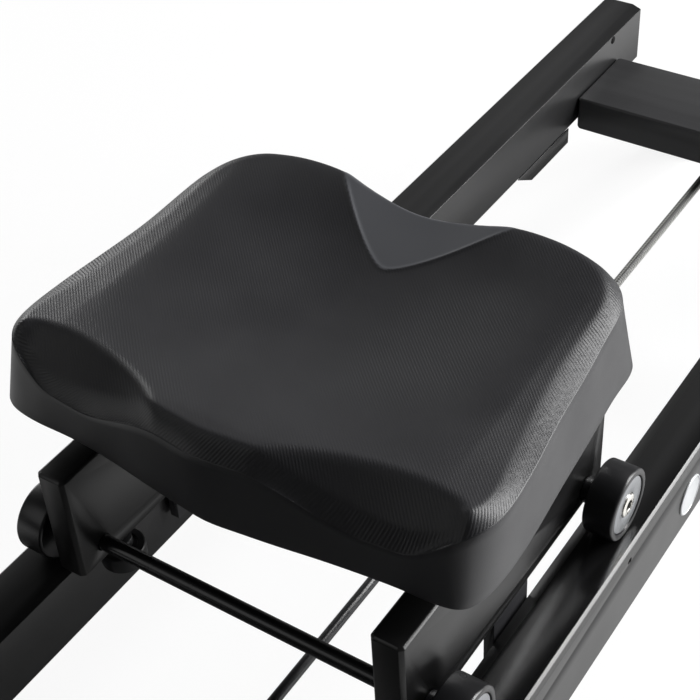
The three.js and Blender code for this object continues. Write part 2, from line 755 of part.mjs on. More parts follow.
// The cushion: rings of points over the crown, down the wall and across the flat bottom.
function addCushion() {
  const outline = [...cushionOutline, ...cushionOutline.slice(1, -1).reverse().map(([x, y]) => [-x, y])];
  const positions = [cushionShift, seatY + cushionMiddle, cushionBottom + topHeight(0, cushionMiddle)];
  const rows = [];
  const row = (inset, height, flareShare = 0) => {
    rows.push(positions.length / 3);
    for (const [x, y] of outline) {
      const moved = inset - flareShare * cornerFlare(x, y);
      const share = 1 - moved / Math.hypot(x, y - cushionMiddle);
      const [px, py] = [share * x, cushionMiddle + share * (y - cushionMiddle)];
      positions.push(cushionShift + px, seatY + py, cushionBottom + height(px, py));
    }
  };
  for (const inset of [...cushionInsets].reverse()) {
    const over = Math.max(0, 1 - inset / cushionShoulder);
    const share = Math.sqrt(1 - over * over);
    row(inset, (x, y) => {
      const low = seamHeight(x, y);
      return low + (topHeight(x, y) - low) * share;
    });
  }
  row(cushionDrawIn / 2, () => cushionSeamHeight / 2, 1 / 2);
  row(cushionDrawIn, () => cushionBottomRound, 1);
  row(cushionDrawIn + cushionBottomRound, () => 0, 1);
  row(cushionMiddle / 2, () => 0);
  positions.push(cushionShift, seatY + cushionMiddle, cushionBottom);
  const index = [];
  const sides = outline.length;
  for (let i = 0; i < sides; i += 1) {
    const j = (i + 1) % sides;
    index.push(0, rows[0] + i, rows[0] + j);
    for (let r = 0; r + 1 < rows.length; r += 1) {
      const [a, b, c, d] = [rows[r] + i, rows[r] + j, rows[r + 1] + i, rows[r + 1] + j];
      index.push(a, c, d, a, d, b);
    }
    const last = rows[rows.length - 1];
    index.push(last + j, last + i, positions.length / 3 - 1);
  }
  const geometry = new THREE.BufferGeometry();
  geometry.setAttribute("position", new THREE.Float32BufferAttribute(positions, 3));
  geometry.setIndex(index);
  geometry.computeVertexNormals();
  add("seat_cushion", geometry, blackFoam);
}

// Side boards, the tall front and carrier boards, the tank's shelf and the deck above the spool.
function addFrontFrame() {
  const between = sideInner - gap;
  for (const [side, sign] of Object.entries(mirrored)) {
    const [low, high] = sign < 0 ? [-sideOuter, -sideInner] : [sideInner, sideOuter];
    const sideBoard = board([low, frontFace, 0], [high, carrierRear, sideHeight]);
    add(`base_side_${side}`, join(sideBoard, addWheel(side, sign)), blackWood);
  }
  const boardsTop = deckBottom - gap;
  const frontRear = frontFace + frontBoardThickness;
  const front = board([-between, frontFace, boardFloorGap], [between, frontRear, boardsTop]);
  add("front_board", front, blackWood);
  const carrier = board([-between, carrierFront, boardFloorGap], [between, carrierRear, boardsTop]);
  const notchBottom = recoilZ - cordRadius - notchInCarrierBelow;
  const half = notchInCarrierWidth / 2;
  const notchLow = [-half, carrierFront - overrun, notchBottom];
  const notch = block(notchLow, [half, carrierRear + overrun, boardsTop + overrun]);
  add("carrier_board", cut(carrier, notch), blackWood);
  const shelfLow = [-between, frontRear + gap, shelfTop - shelfThickness];
  add("tank_shelf", board(shelfLow, [between, carrierFront - gap, shelfTop]), blackWood);
  const deckTop = deckBottom + deckThickness;
  const deckLow = [-deckWidth / 2, frontFace, deckBottom];
  add("deck_board", board(deckLow, [deckWidth / 2, carrierRear, deckTop]), blackWood);
}

// A transport wheel outside the side board; the shouldered bolt that holds it is handed back.
function addWheel(side, sign) {
  const start = sideOuter + 2 * gap;
  const wheel = ring(wheelBoltRadius + gap, wheelRadius, start, start + wheelWidth, X);
  const bolt = join(
    bore(wheelBoltRadius, sideOuter - overrun, start + wheelWidth + gap + wheelHeadHeight, X),
    bore(wheelHeadRadius, start + wheelWidth + gap, start + wheelWidth + gap + wheelHeadHeight, X),
  );
  for (const part of [wheel, bolt]) {
    if (sign < 0) part.rotateZ(Math.PI);
    part.translate(0, frontFace + wheelRadius, wheelRadius + wheelFloorGap);
  }
  add(`transport_wheel_${side}`, wheel, blackRubber);
  return bolt;
}

// The clear tank: two shells with flanges, a gasket between them and a filling plug.
function addTank() {
  const inside = tankRadius - tankWall;
  const bend = tankRadius - tankCorner;
  const lower = [
    [0, 0],
    ...arc(bend, tankCorner, tankCorner, -Math.PI / 2, 0),
    [tankRadius, shellHeight - tankFlangeThickness],
    [tankOuter, shellHeight - tankFlangeThickness],
    [tankOuter, shellHeight],
    [inside, shellHeight],
    ...arc(bend, tankCorner, tankCorner - tankWall, 0, -Math.PI / 2),
    [cupRadius, tankWall],
    [cupRadius, tankWall + cupHeight],
    [shaftRadius + gap, tankWall + cupHeight],
    [shaftRadius + gap, tankWall + cupFloor],
    [0, tankWall + cupFloor],
  ];
  add("tank_lower_shell", turned(lower, Z, tankSegments).translate(0, tankY, tankBottom), clearShell);
  const gasketBottom = shellHeight + gap;
  const gasketTop = gasketBottom + gasketThickness;
  const gasket = ring(inside + turnedEase, tankOuter, gasketBottom, gasketTop, Z, tankSegments);
  add("tank_gasket", gasket.translate(0, tankY, tankBottom), blackRubber);
  const start = gasketTop + gap;
  const upper = [
    [inside, start],
    [tankOuter, start],
    [tankOuter, start + tankFlangeThickness],
    [tankRadius, start + tankFlangeThickness],
    ...arc(bend, tankHeight - tankCorner, tankCorner, 0, Math.PI / 2),
    [bossRadius, tankHeight],
    [bossRadius, tankHeight + bossHeight],
    [shaftRadius + gap, tankHeight + bossHeight],
    [shaftRadius + gap, tankHeight - bossDepth],
    [bossRadius - tankWall, tankHeight - bossDepth],
    [bossRadius - tankWall, tankHeight - tankWall],
    ...arc(bend, tankHeight - tankCorner, tankCorner - tankWall, Math.PI / 2, 0),
    [inside, start],
  ];
  const fillHole = bore(plugRadius + gap, tankHeight - tankWall - overrun, tankHeight + overrun, Z);
  const upperShell = cut(turned(upper, Z, tankSegments), fillHole.translate(plugOffset, 0, 0));
  add("tank_upper_shell", upperShell.translate(0, tankY, tankBottom), clearShell);
  const seat = tankHeight + gap;
  const plug = turned(
    [
      [0, seat - plugStem],
      [plugRadius, seat - plugStem],
      [plugRadius, seat],
      [plugHeadRadius, seat],
      [plugHeadRadius, seat + plugHeadHeight],
      [plugRadius, seat + plugHeadHeight],
      [plugRadius - turnedEase, seat + plugHeadHeight + plugGripHeight],
      [0, seat + plugHeadHeight + plugGripHeight],
    ],
    Z,
    smallSegments,
  );
  add("fill_plug", plug.translate(plugOffset, tankY, tankBottom), blackPlastic);
}

// The upright shaft with its hub and blades, and the spool on top of it.
function addPaddle() {
  const shaft = rod(shaftRadius, tankBottom + tankWall + cupFloor + gap, shaftTop, Z);
  const hubBottom = tankBottom + tankWall + cupHeight + hubLift;
  const hub = rod(hubRadius, hubBottom, hubBottom + hubLength, Z, turnSegments);
  const bladeBottom = hubBottom + (hubLength - bladeHeight) / 2;
  const blades = [];
  for (let i = 0; i < bladeCount; i += 1) {
    const half = bladeThickness / 2;
    const blade = block([shaftRadius, -half, bladeBottom], [bladeReach, half, bladeBottom + bladeHeight]);
    blades.push(blade.rotateZ((2 * Math.PI * i) / bladeCount));
  }
  add("paddle", join(shaft, hub, ...blades).translate(0, tankY, 0), steel);
  const boreRadius = shaftRadius + gap;
  const recoilTop = spoolBottom + spoolFlange + recoilGroove;
  const profile = [
    [boreRadius, spoolBottom],
    [recoilFlangeRadius, spoolBottom],
    [recoilFlangeRadius, spoolBottom + spoolFlange],
    [recoilDrumRadius, spoolBottom + spoolFlange],
    [recoilDrumRadius, recoilTop],
    [spoolFlangeRadius, recoilTop],
    [spoolFlangeRadius, dividerTop],
    [drumRadius, dividerTop],
    [drumRadius, spoolTop - spoolFlange],
    [spoolFlangeRadius, spoolTop - spoolFlange],
    [spoolFlangeRadius, spoolTop],
    [boreRadius, spoolTop],
    [boreRadius, spoolBottom],
  ];
  add("strap_spool", turned(profile, Z).translate(0, tankY, 0), blackPlastic);
}

// A pulley about X with two lips.
function pulley(radius, lip, half) {
  const boreRadius = pulleyPinRadius + gap;
  const profile = [
    [boreRadius, -half],
    [radius + lip, -half],
    [radius + lip, -half + pulleyFlange],
    [radius, -half + pulleyFlange],
    [radius, half - pulleyFlange],
    [radius + lip, half - pulleyFlange],
    [radius + lip, half],
    [boreRadius, half],
    [boreRadius, -half],
  ];
  return turned(profile, X);
}

// The steel tower behind the carrier board: two cheeks, a foot plate and the pulleys' pins.
function addTower() {
  const front = carrierRear + gap;
  const foot = lowerIdlerZ - cheekFootBelow;
  const footRear = lowerIdlerY + cheekFootReach;
  const ledgeTop = handleHeight - handleRadius - gap;
  const stopY = handleY - handleRadius - gap;
  const ledgeRear = handleY + ledgeReach;
  const outline = [
    [front, foot],
    [footRear, foot],
    [upperPulleyY + cheekWaist, lowerPulleyZ],
    [upperPulleyY + cheekWaist, ledgeTop - 2 * ledgeThickness],
    [ledgeRear, ledgeTop - ledgeThickness],
    [ledgeRear, ledgeTop],
    [stopY, ledgeTop],
    [stopY, cheekTop],
    [front, cheekTop],
    [front, cheekTop - cheekFrontBelow - armBlockHeight],
    [front, foot + towerPlateWidth],
  ];
  const plateTop = recoilZ - cordRadius - notchInCarrierBelow;
  const plateHalf = towerPlateWidth / 2;
  const pins = [
    [upperPulleyY, upperPulleyZ],
    [lowerPulleyY, lowerPulleyZ],
    [upperIdlerY, upperIdlerZ],
    [lowerIdlerY, lowerIdlerZ],
  ].map(([y, z]) => bore(pulleyPinRadius, -cheekOuter, cheekOuter, X).translate(0, y, z));
  const tower = join(
    prismX(outline, -cheekOuter, -cheekInner),
    prismX(outline, cheekInner, cheekOuter),
    block([-plateHalf, front, foot], [plateHalf, front + towerPlateThickness, plateTop]),
    ...pins,
  );
  add("strap_tower", tower, blackSteel);
  const strapHalf = strapGroove / 2 + pulleyFlange;
  const lower = pulley(lowerPulleyRadius, pulleyLip, strapHalf);
  add("strap_pulley_lower", lower.translate(0, lowerPulleyY, lowerPulleyZ), blackPlastic);
  const upper = pulley(upperPulleyRadius, pulleyLip, strapHalf);
  add("strap_pulley_upper", upper.translate(0, upperPulleyY, upperPulleyZ), blackPlastic);
  const idler = () => pulley(idlerRadius, idlerLip, idlerWidth / 2);
  add("recoil_idler_upper", idler().translate(0, upperIdlerY, upperIdlerZ), blackPlastic);
  add("recoil_idler_lower", idler().translate(0, lowerIdlerY, lowerIdlerZ), blackPlastic);
}

// The drive strap: wound on the drum, turned flat on its way back, round both pulleys to the handle.
function addStrap() {
  const points = [];
  const widths = [];
  const wrapSteps = turnSegments * strapWrapTurns;
  for (let i = 0; i < wrapSteps; i += 1) {
    const angle = (i / wrapSteps - 1) * strapWrapTurns * 2 * Math.PI;
    const [x, y] = [strapLineX * Math.cos(angle), strapLineX * Math.sin(angle)];
    points.push(new THREE.Vector3(x, tankY + y, strapZ));
    widths.push(Z.clone());
  }
  const start = new THREE.Vector3(strapLineX, tankY, strapZ);
  const end = new THREE.Vector3(0, lowerPulleyY - lowerPulleyRadius - pulleyLip, strapZ);
  for (let i = 0; i < turnSegments; i += 1) {
    const t = i / turnSegments;
    points.push(start.clone().lerp(end, t));
    const turn = (smooth(strapTwistStart / (end.y - start.y), 1 - 1 / turnSegments, t) * Math.PI) / 2;
    widths.push(new THREE.Vector3(Math.sin(turn), 0, Math.cos(turn)));
  }
  const around = (y, z, radius, from, to) => {
    for (const [a, b] of arc(y, z, radius, from, to, 2 * cornerSteps)) {
      points.push(new THREE.Vector3(0, a, b));
      widths.push(X.clone());
    }
  };
  around(lowerPulleyY, lowerPulleyZ, lowerPulleyRadius + strapStand, -Math.PI / 2, 0);
  around(upperPulleyY, upperPulleyZ, upperPulleyRadius + strapStand, Math.PI, Math.PI / 2);
  add("drive_strap", strapAlong(points, widths, strapWidth, strapThickness), webbing);
  const runFrom = upperPulleyY + gap;
  const runTo = handleY - handleRadius - clampWall - clampTab - gap;
  const half = strapWidth / 2;
  const thick = strapThickness / 2;
  const run = block([-half, runFrom, handleHeight - thick], [half, runTo, handleHeight + thick]);
  add("strap_run", run, webbing);
}

// The handle: a round bar with two thicker grips, and the clamp that the strap ends in.
function addHandle() {
  const end = handleLength / 2;
  const half = [
    [handleRadius, 0],
    [handleRadius, end - gripLength - gripTaper],
    [gripRadius, end - gripLength],
    [gripRadius, end - gripTaper],
    [gripRadius - gripTaper / 2, end],
  ];
  const mirroredHalf = half.slice(1).reverse().map(([radius, x]) => [radius, -x]);
  const profile = [[0, -end], ...mirroredHalf, ...half.slice(1), [0, end]];
  add("handle_bar", turned(profile, X).translate(0, handleY, handleHeight), blackRubber);
  const outer = handleRadius + gap + clampWall;
  const sleeve = ring(handleRadius + gap, outer, -clampWidth / 2, clampWidth / 2, X);
  const tabFront = handleRadius + clampWall + clampTab;
  const tabHalf = clampTabHeight / 2;
  const tabLow = [-clampWidth / 2, -tabFront, -tabHalf];
  const tab = block(tabLow, [clampWidth / 2, -outer + clampWall / 2, tabHalf]);
  add("strap_clamp", join(sleeve, tab).translate(0, handleY, handleHeight), blackSteel);
}

// The recoil cord from its drum round two idlers, the link, the bungee and its anchor.
function addRecoil() {
  const points = [];
  const radius = recoilDrumRadius + cordStand;
  const wrapSteps = turnSegments * cordWrapTurns;
  for (let i = 0; i < wrapSteps; i += 1) {
    const angle = Math.PI + (1 - i / wrapSteps) * cordWrapTurns * 2 * Math.PI;
    points.push(new THREE.Vector3(radius * Math.cos(angle), tankY + radius * Math.sin(angle), recoilZ));
  }
  points.push(new THREE.Vector3(cordLineX, tankY, recoilZ));
  const bend = idlerRadius + cordStand;
  const over = arc(upperIdlerY, upperIdlerZ, bend, Math.PI / 2, 0, 2 * cornerSteps);
  const under = arc(lowerIdlerY, lowerIdlerZ, bend, Math.PI, (3 * Math.PI) / 2, 2 * cornerSteps);
  for (const [y, z] of [...over, ...under]) points.push(new THREE.Vector3(0, y, z));
  add("recoil_cord_front", roundCord(points, cordRadius), webbing);
  const linkFront = seatY + linkBehindSeat;
  const run = bore(cordRadius, lowerIdlerY + 2 * gap, linkFront - gap, Y, cordSides);
  add("recoil_cord_run", run.translate(0, 0, cordZ), webbing);
  const linkRear = linkFront + linkLength;
  add("recoil_link", rod(linkRadius, linkFront, linkRear, Y).translate(0, 0, cordZ), steel);
  const plateFront = spreaderRear + gap;
  const plateRear = plateFront + anchorThickness;
  const half = anchorWidth / 2;
  const plate = block([-half, plateFront, cordZ - anchorBelow], [half, plateRear, cordZ + anchorAbove]);
  const eye = bore(cordRadius + gap, plateFront - overrun, plateRear + overrun, Y).translate(0, 0, cordZ);
  add("bungee_anchor", cut(plate, eye), blackSteel);
  const knotFront = plateRear + gap;
  const cord = bore(cordRadius, linkRear + gap, knotFront + knotLength / 2, Y, cordSides);
  const knot = rod(knotRadius, knotFront, knotFront + knotLength, Y, smallSegments, knotRadius / 3);
  add("recoil_bungee", join(cord, knot).translate(0, 0, cordZ), webbing);
}

// A round cord through points, with a ring of corners square to the route at each point.
function roundCord(points, radius) {
  const positions = [];
  const index = [];
  let side = Z.clone();
  points.forEach((point, i) => {
    const before = points[Math.max(i - 1, 0)];
    const after = points[Math.min(i + 1, points.length - 1)];
    const ahead = after.clone().sub(before).normalize();
    side = side.addScaledVector(ahead, -side.dot(ahead)).normalize();
    const other = new THREE.Vector3().crossVectors(ahead, side);
    for (let k = 0; k < cordSides; k += 1) {
      const angle = (2 * Math.PI * k) / cordSides;
      const corner = point.clone().addScaledVector(side, radius * Math.cos(angle));
      positions.push(...corner.addScaledVector(other, radius * Math.sin(angle)).toArray());
    }
  });
  const last = cordSides * (points.length - 1);
  for (let k = 0; k < cordSides; k += 1) {
    const next = (k + 1) % cordSides;
    for (let i = 0; i < last; i += cordSides)
      index.push(i + k, i + next, i + cordSides + next, i + k, i + cordSides + next, i + cordSides + k);
    if (k > 0 && next > 0) index.push(0, next, k, last, last + k, last + next);
  }
  const geometry = new THREE.BufferGeometry();
  geometry.setAttribute("position", new THREE.Float32BufferAttribute(positions, 3));
  geometry.setIndex(index);
  geometry.computeVertexNormals();
  return geometry;
}

// The slanting footboards with their gussets, and the heel rests that slide up them.
function addFootrests() {
  const heelY = carrierRear + footboardHeelBehind;
  const heelZ = railTop + gap;
  const [cos, sin] = [Math.cos(footboardAngle), Math.sin(footboardAngle)];
  const place = (along, off) => [heelY - along * cos + off * sin, heelZ + along * sin + off * cos];
  const plateOutline = [
    place(0, 0),
    [heelY + footboardThickness / sin, heelZ],
    place(footboardLength, footboardThickness),
    place(footboardLength, 0),
  ];
  const gussetFront = carrierRear + gussetFrontGap;
  const gussetAlong = (heelY - gussetFront) / cos;
  const gussetOutline = [
    place(0, footboardThickness / 2),
    place(0, 0),
    [gussetFront, heelZ],
    place(gussetAlong, 0),
    place(gussetAlong, footboardThickness / 2),
  ];
  const slotEnds = [heelSlotStart, heelSlotStart + heelSlotLength];
  const slotOutline = [
    place(slotEnds[0], -overrun),
    place(slotEnds[0], footboardThickness + overrun),
    place(slotEnds[1], footboardThickness + overrun),
    place(slotEnds[1], -overrun),
  ];
  const base = footboardThickness + gap;
  const lipStart = heelStart;
  const heelOutline = [
    place(lipStart, base),
    place(lipStart, base + heelLipHeight),
    place(lipStart + heelLipThickness, base + heelLipHeight),
    place(lipStart + 2 * heelLipThickness, base + heelPlateThickness),
    place(lipStart + heelPlateLength, base + heelPlateThickness),
    place(lipStart + heelPlateLength, base),
  ];
  const tongueOutline = [
    place(lipStart + heelTongueStart, base - heelTongueDepth),
    place(lipStart + heelTongueStart, base + heelPlateThickness / 2),
    place(lipStart + heelTongueStart + heelTongueLength, base + heelPlateThickness / 2),
    place(lipStart + heelTongueStart + heelTongueLength, base - heelTongueDepth),
  ];
  for (const [side, sign] of Object.entries(mirrored)) {
    const across = (a, b) => [Math.min(sign * a, sign * b), Math.max(sign * a, sign * b)];
    const outer = footboardInner + footboardWidth;
    const middle = footboardInner + footboardWidth / 2;
    const gusset = prismX(gussetOutline, ...across(outer - gussetThickness, outer));
    const plate = prismX(plateOutline, ...across(footboardInner, outer));
    const slot = prismX(slotOutline, ...across(middle - heelSlotWidth / 2, middle + heelSlotWidth / 2));
    add(`footboard_${side}`, cut(join(plate, gusset), slot), blackPlastic);
    const heelInner = footboardInner + heelPlateMargin;
    const heel = prismX(heelOutline, ...across(heelInner, outer - heelPlateMargin));
    const tongueHalf = heelSlotWidth / 2 - gap;
    const tongue = prismX(tongueOutline, ...across(middle - tongueHalf, middle + tongueHalf));
    add(`heel_rest_${side}`, join(heel, tongue), blackRubber);
  }
}

// The monitor: an arm clamped between the cheeks, and a case that tilts on the arm's pin.
function addMonitor() {
  const front = carrierRear + armBlockFront;
  const top = cheekTop - armBlockBelowTop;
  const half = cheekInner - gap;
  const clampLow = [-half, front - armBlockLength / 2, top - armBlockHeight];
  const clampBlock = block(clampLow, [half, front + armBlockLength / 2, top]);
  const from = new THREE.Vector3(0, front, top - armBlockHeight / 4);
  const to = new THREE.Vector3(0, hingeY, hingeZ - hingeEarRadius);
  const tube = cordAlong(new THREE.LineCurve3(from, to), armRadius, 1);
  const earInner = lugWidth / 2 + gap;
  const earOuter = earInner + hingeEarThickness;
  const drop = 2 * hingeEarRadius;
  const ear = (sign) => {
    const [low, high] = sign < 0 ? [-earOuter, -earInner] : [earInner, earOuter];
    const disc = bore(hingeEarRadius, low, high, X).translate(0, hingeY, hingeZ);
    const stemLow = [low, hingeY - hingeEarRadius, hingeZ - drop];
    const stem = block(stemLow, [high, hingeY + hingeEarRadius, hingeZ]);
    return join(disc, stem);
  };
  const bridge = block(
    [-earOuter, hingeY - hingeEarRadius, hingeZ - drop - hingeEarThickness],
    [earOuter, hingeY + hingeEarRadius, hingeZ - drop + turnedEase],
  );
  const pin = bore(hingePinRadius, -earOuter, earOuter, X).translate(0, hingeY, hingeZ);
  const headroom = block(
    [-earInner, hingeY - drop, hingeZ - drop + turnedEase],
    [earInner, hingeY + drop, hingeZ + drop],
  );
  const arm = join(cut(join(clampBlock, tube, bridge), headroom), ear(-1), ear(1), pin);
  add("monitor_arm", arm, blackSteel);
  addMonitorCase();
}

// The case stands on its hinge; its own frame has the face towards +Y.
function addMonitorCase() {
  const group = new THREE.Group();
  group.position.set(0, hingeY, hingeZ);
  group.rotation.x = monitorTilt;
  machine.add(group);
  const bottom = caseAboveHinge;
  const halfWidth = caseWidth / 2 - caseEase;
  const halfHeight = caseHeight / 2 - caseEase;
  const corners = [
    ...arc(halfWidth - caseCorner, halfHeight - caseCorner, caseCorner, 0, Math.PI / 2),
    ...arc(-halfWidth + caseCorner, halfHeight - caseCorner, caseCorner, Math.PI / 2, Math.PI),
    ...arc(-halfWidth + caseCorner, -halfHeight + caseCorner, caseCorner, Math.PI, (3 * Math.PI) / 2),
    ...arc(halfWidth - caseCorner, -halfHeight + caseCorner, caseCorner, (3 * Math.PI) / 2, 2 * Math.PI),
  ];
  const shell = new THREE.ExtrudeGeometry(shapeOf(corners), {
    depth: caseDepth - 2 * caseEase,
    bevelThickness: caseEase,
    bevelSize: caseEase,
    bevelSegments: 2,
  });
  shell.applyMatrix4(new THREE.Matrix4().makeBasis(X, Z, Y.clone().negate()));
  shell.translate(0, caseDepth / 2 - caseEase, bottom + caseHeight / 2);
  const lugHalf = hingeEarRadius - gap;
  const lug = block([-lugWidth / 2, -lugHalf, 0], [lugWidth / 2, lugHalf, bottom + caseEase]);
  const lugRound = bore(lugHalf, -lugWidth / 2, lugWidth / 2, X);
  const pinHole = bore(hingePinRadius + gap, -lugWidth, lugWidth, X);
  const face = caseDepth / 2;
  const screenTop = bottom + caseHeight - screenTopMargin;
  const recess = block(
    [-screenWidth / 2 - gap, face - screenRecess, screenTop - screenHeight - gap],
    [screenWidth / 2 + gap, face + overrun, screenTop + gap],
  );
  const wellBottom = face + buttonStand - buttonLength - buttonTravelRoom;
  const buttonZ = bottom + buttonAboveEdge;
  const wells = Object.values(mirrored).map((sign) => {
    const well = bore(buttonRadius + gap, wellBottom, face + overrun, Y);
    return well.translate(sign * buttonOffset, 0, buttonZ);
  });
  add("monitor_case", cut(join(shell, lug, lugRound), pinHole, recess, ...wells), blackPlastic, group);
  const screenBack = face - screenRecess + gap;
  const screen = board(
    [-screenWidth / 2, screenBack, screenTop - screenHeight],
    [screenWidth / 2, screenBack + screenThickness, screenTop],
    screenThickness / 4,
  );
  add("monitor_screen", screen, screenGlass, group);
  for (const [side, sign] of Object.entries(mirrored)) {
    const button = rod(buttonRadius, face + buttonStand - buttonLength, face + buttonStand, Y);
    add(`monitor_button_${side}`, button.translate(sign * buttonOffset, 0, buttonZ), steel, group);
  }
}

addRails();
addRearStand();
addCarriage();
addBrackets();
addCushion();
addFrontFrame();
addTank();
addPaddle();
addTower();
addStrap();
addHandle();
addRecoil();
addFootrests();
addMonitor();

export default machine;
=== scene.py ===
import json
import math

import bmesh
import bpy
import numpy as np
from mathutils import Matrix, Vector

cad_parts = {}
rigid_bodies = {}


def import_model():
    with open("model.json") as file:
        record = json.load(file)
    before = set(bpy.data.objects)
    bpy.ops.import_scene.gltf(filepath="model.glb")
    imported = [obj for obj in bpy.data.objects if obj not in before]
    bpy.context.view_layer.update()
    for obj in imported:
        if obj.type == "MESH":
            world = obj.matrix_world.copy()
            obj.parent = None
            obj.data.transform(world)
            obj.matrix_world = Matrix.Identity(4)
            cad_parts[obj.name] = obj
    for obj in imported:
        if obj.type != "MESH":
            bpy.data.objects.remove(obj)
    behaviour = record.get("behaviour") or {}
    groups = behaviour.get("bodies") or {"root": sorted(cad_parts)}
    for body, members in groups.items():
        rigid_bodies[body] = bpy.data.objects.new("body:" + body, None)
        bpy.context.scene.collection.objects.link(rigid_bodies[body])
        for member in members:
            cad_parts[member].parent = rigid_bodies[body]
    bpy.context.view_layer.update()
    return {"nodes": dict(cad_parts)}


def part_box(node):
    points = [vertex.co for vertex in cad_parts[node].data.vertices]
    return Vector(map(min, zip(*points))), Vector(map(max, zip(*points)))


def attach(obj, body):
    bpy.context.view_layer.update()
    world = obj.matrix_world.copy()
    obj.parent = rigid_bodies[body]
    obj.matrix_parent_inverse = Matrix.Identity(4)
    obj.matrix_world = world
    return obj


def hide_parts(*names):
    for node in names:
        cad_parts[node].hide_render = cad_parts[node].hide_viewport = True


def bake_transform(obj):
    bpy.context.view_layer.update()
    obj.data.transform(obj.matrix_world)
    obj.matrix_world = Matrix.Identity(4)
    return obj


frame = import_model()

MM = 0.001
nodes = frame["nodes"]

# Camera: where the photograph was taken from, in millimetres and degrees
CAMERA_PLACE = (362.6, -302.5, 910.0)
CAMERA_LOOK = (-0.4453, 0.6146, -0.6511)
CAMERA_TURN = 35.93
CAMERA_ROLL = -3.88
CAMERA_LENS = 78.69
CAMERA_SENSOR = 36.0
CAMERA_NEAR = 0.01  # nearest distance that it sees, in metres


def add_camera():
    look = Vector(CAMERA_LOOK).normalized()
    turn = math.radians(CAMERA_TURN)
    level = Vector((math.cos(turn), math.sin(turn), 0.0))
    lift = level.cross(look)
    roll = math.radians(CAMERA_ROLL)
    right = math.cos(roll) * level + math.sin(roll) * lift
    up = -math.sin(roll) * level + math.cos(roll) * lift
    data = bpy.data.cameras.new("camera")
    data.lens = CAMERA_LENS
    data.sensor_width = CAMERA_SENSOR
    data.clip_start = CAMERA_NEAR
    camera = bpy.data.objects.new("camera", data)
    camera.location = Vector(CAMERA_PLACE) * MM
    camera.rotation_euler = Matrix((right, up, -look)).transposed().to_euler()
    bpy.context.scene.collection.objects.link(camera)
    bpy.context.scene.camera = camera


add_camera()


# Mesh helpers
SHARP = 32.0  # degrees past which an edge is shaded as a sharp one
TINY = 1e-7  # metres within which points are one
WELD = 1e-6


def new_piece(name, points, faces, smooth=True):
    mesh = bpy.data.meshes.new(name)
    mesh.from_pydata([tuple(p) for p in points], [], faces)
    mesh.validate()
    if smooth:
        mesh.shade_smooth()
    piece = bpy.data.objects.new(name, mesh)
    bpy.context.scene.collection.objects.link(piece)
    return piece


def crease_sharp(piece, degrees=SHARP):
    """Smooth shading everywhere but over edges sharper than this."""
    piece.data.shade_smooth()
    piece.data.set_sharp_from_angle(angle=math.radians(degrees))


def axis_frame(axis):
    """Two directions square to an axis, and the axis."""
    along = Vector(axis).normalized()
    side = Vector((0, 0, 1)) if abs(along.z) < 0.9 else Vector((1, 0, 0))
    first = side.cross(along).normalized()
    return first, along.cross(first), along


def lathe(name, profile, centre, axis, steps=72, degrees=SHARP):
    """A turned piece, in millimetres. The profile's rows are (radius, place along the axis), with a
    third number for a row that isn't round but has that many sides. It starts and ends on the axis or
    closes on itself."""
    first, second, along = axis_frame(axis)
    closed = profile[0] == profile[-1]
    rows = profile[:-1] if closed else profile
    points, index = [], []
    for radius, place, *sides in rows:
        middle = Vector(centre) + along * place
        if radius == 0:
            index.append([len(points)] * steps)
            points.append(middle * MM)
            continue
        index.append(list(range(len(points), len(points) + steps)))
        for i in range(steps):
            angle = 2 * math.pi * i / steps
            reach = radius
            if sides:
                corner = math.pi / sides[0]
                reach = radius / math.cos(angle % (2 * corner) - corner)
            points.append((middle + reach * (math.cos(angle) * first + math.sin(angle) * second)) * MM)
    faces = []
    for k in range(len(rows) if closed else len(rows) - 1):
        a, b = index[k], index[(k + 1) % len(rows)]
        for i in range(steps):
            j = (i + 1) % steps
            face = [a[i], a[j], b[j], b[i]]
            kept = [v for n, v in enumerate(face) if v not in face[:n]]
            if len(kept) > 2:
                faces.append(kept)
    piece = new_piece(name, points, faces)
    fix_normals(piece)
    crease_sharp(piece, degrees)
    return piece


def ring_faces(rings, sides):
    """Faces between rings of points that close round."""
    faces = []
    for k in range(rings - 1):
        near, far = k * sides, (k + 1) * sides
        for i in range(sides):
            j = (i + 1) % sides
            faces.append((near + i, near + j, far + j, far + i))
    return faces


def swept(name, rings, degrees, weave=None):
    """A closed piece through rings of points in millimetres, with flat ends.
    Weave holds each point's place in the weave."""
    points = [[c * MM for c in point] for ring in rings for point in ring]
    sides = len(rings[0])
    last = len(points) - sides
    faces = ring_faces(len(rings), sides)
    faces += [tuple(reversed(range(sides))), tuple(range(last, last + sides))]
    piece = new_piece(name, points, faces)
    if weave is not None:
        marks = piece.data.attributes.new("weave", "FLOAT_VECTOR", "POINT")
        marks.data.foreach_set("vector", np.array(weave).ravel())
    fix_normals(piece)
    crease_sharp(piece, degrees)
    return piece


def fix_normals(piece):
    """Joins doubled points and turns the faces out."""
    work = bmesh.new()
    work.from_mesh(piece.data)
    bmesh.ops.remove_doubles(work, verts=work.verts, dist=TINY)
    bmesh.ops.recalc_face_normals(work, faces=work.faces)
    work.to_mesh(piece.data)
    work.free()


def soften(piece, width, segments=2, degrees=30.0):
    """Rounds a piece's sharp edges."""
    weld = piece.modifiers.new("weld", "WELD")
    weld.merge_threshold = WELD
    bevel = piece.modifiers.new("soft_edges", "BEVEL")
    bevel.width = width
    bevel.segments = segments
    bevel.limit_method = "ANGLE"
    bevel.angle_limit = math.radians(degrees)
    bevel.harden_normals = True
    bevel.use_clamp_overlap = True


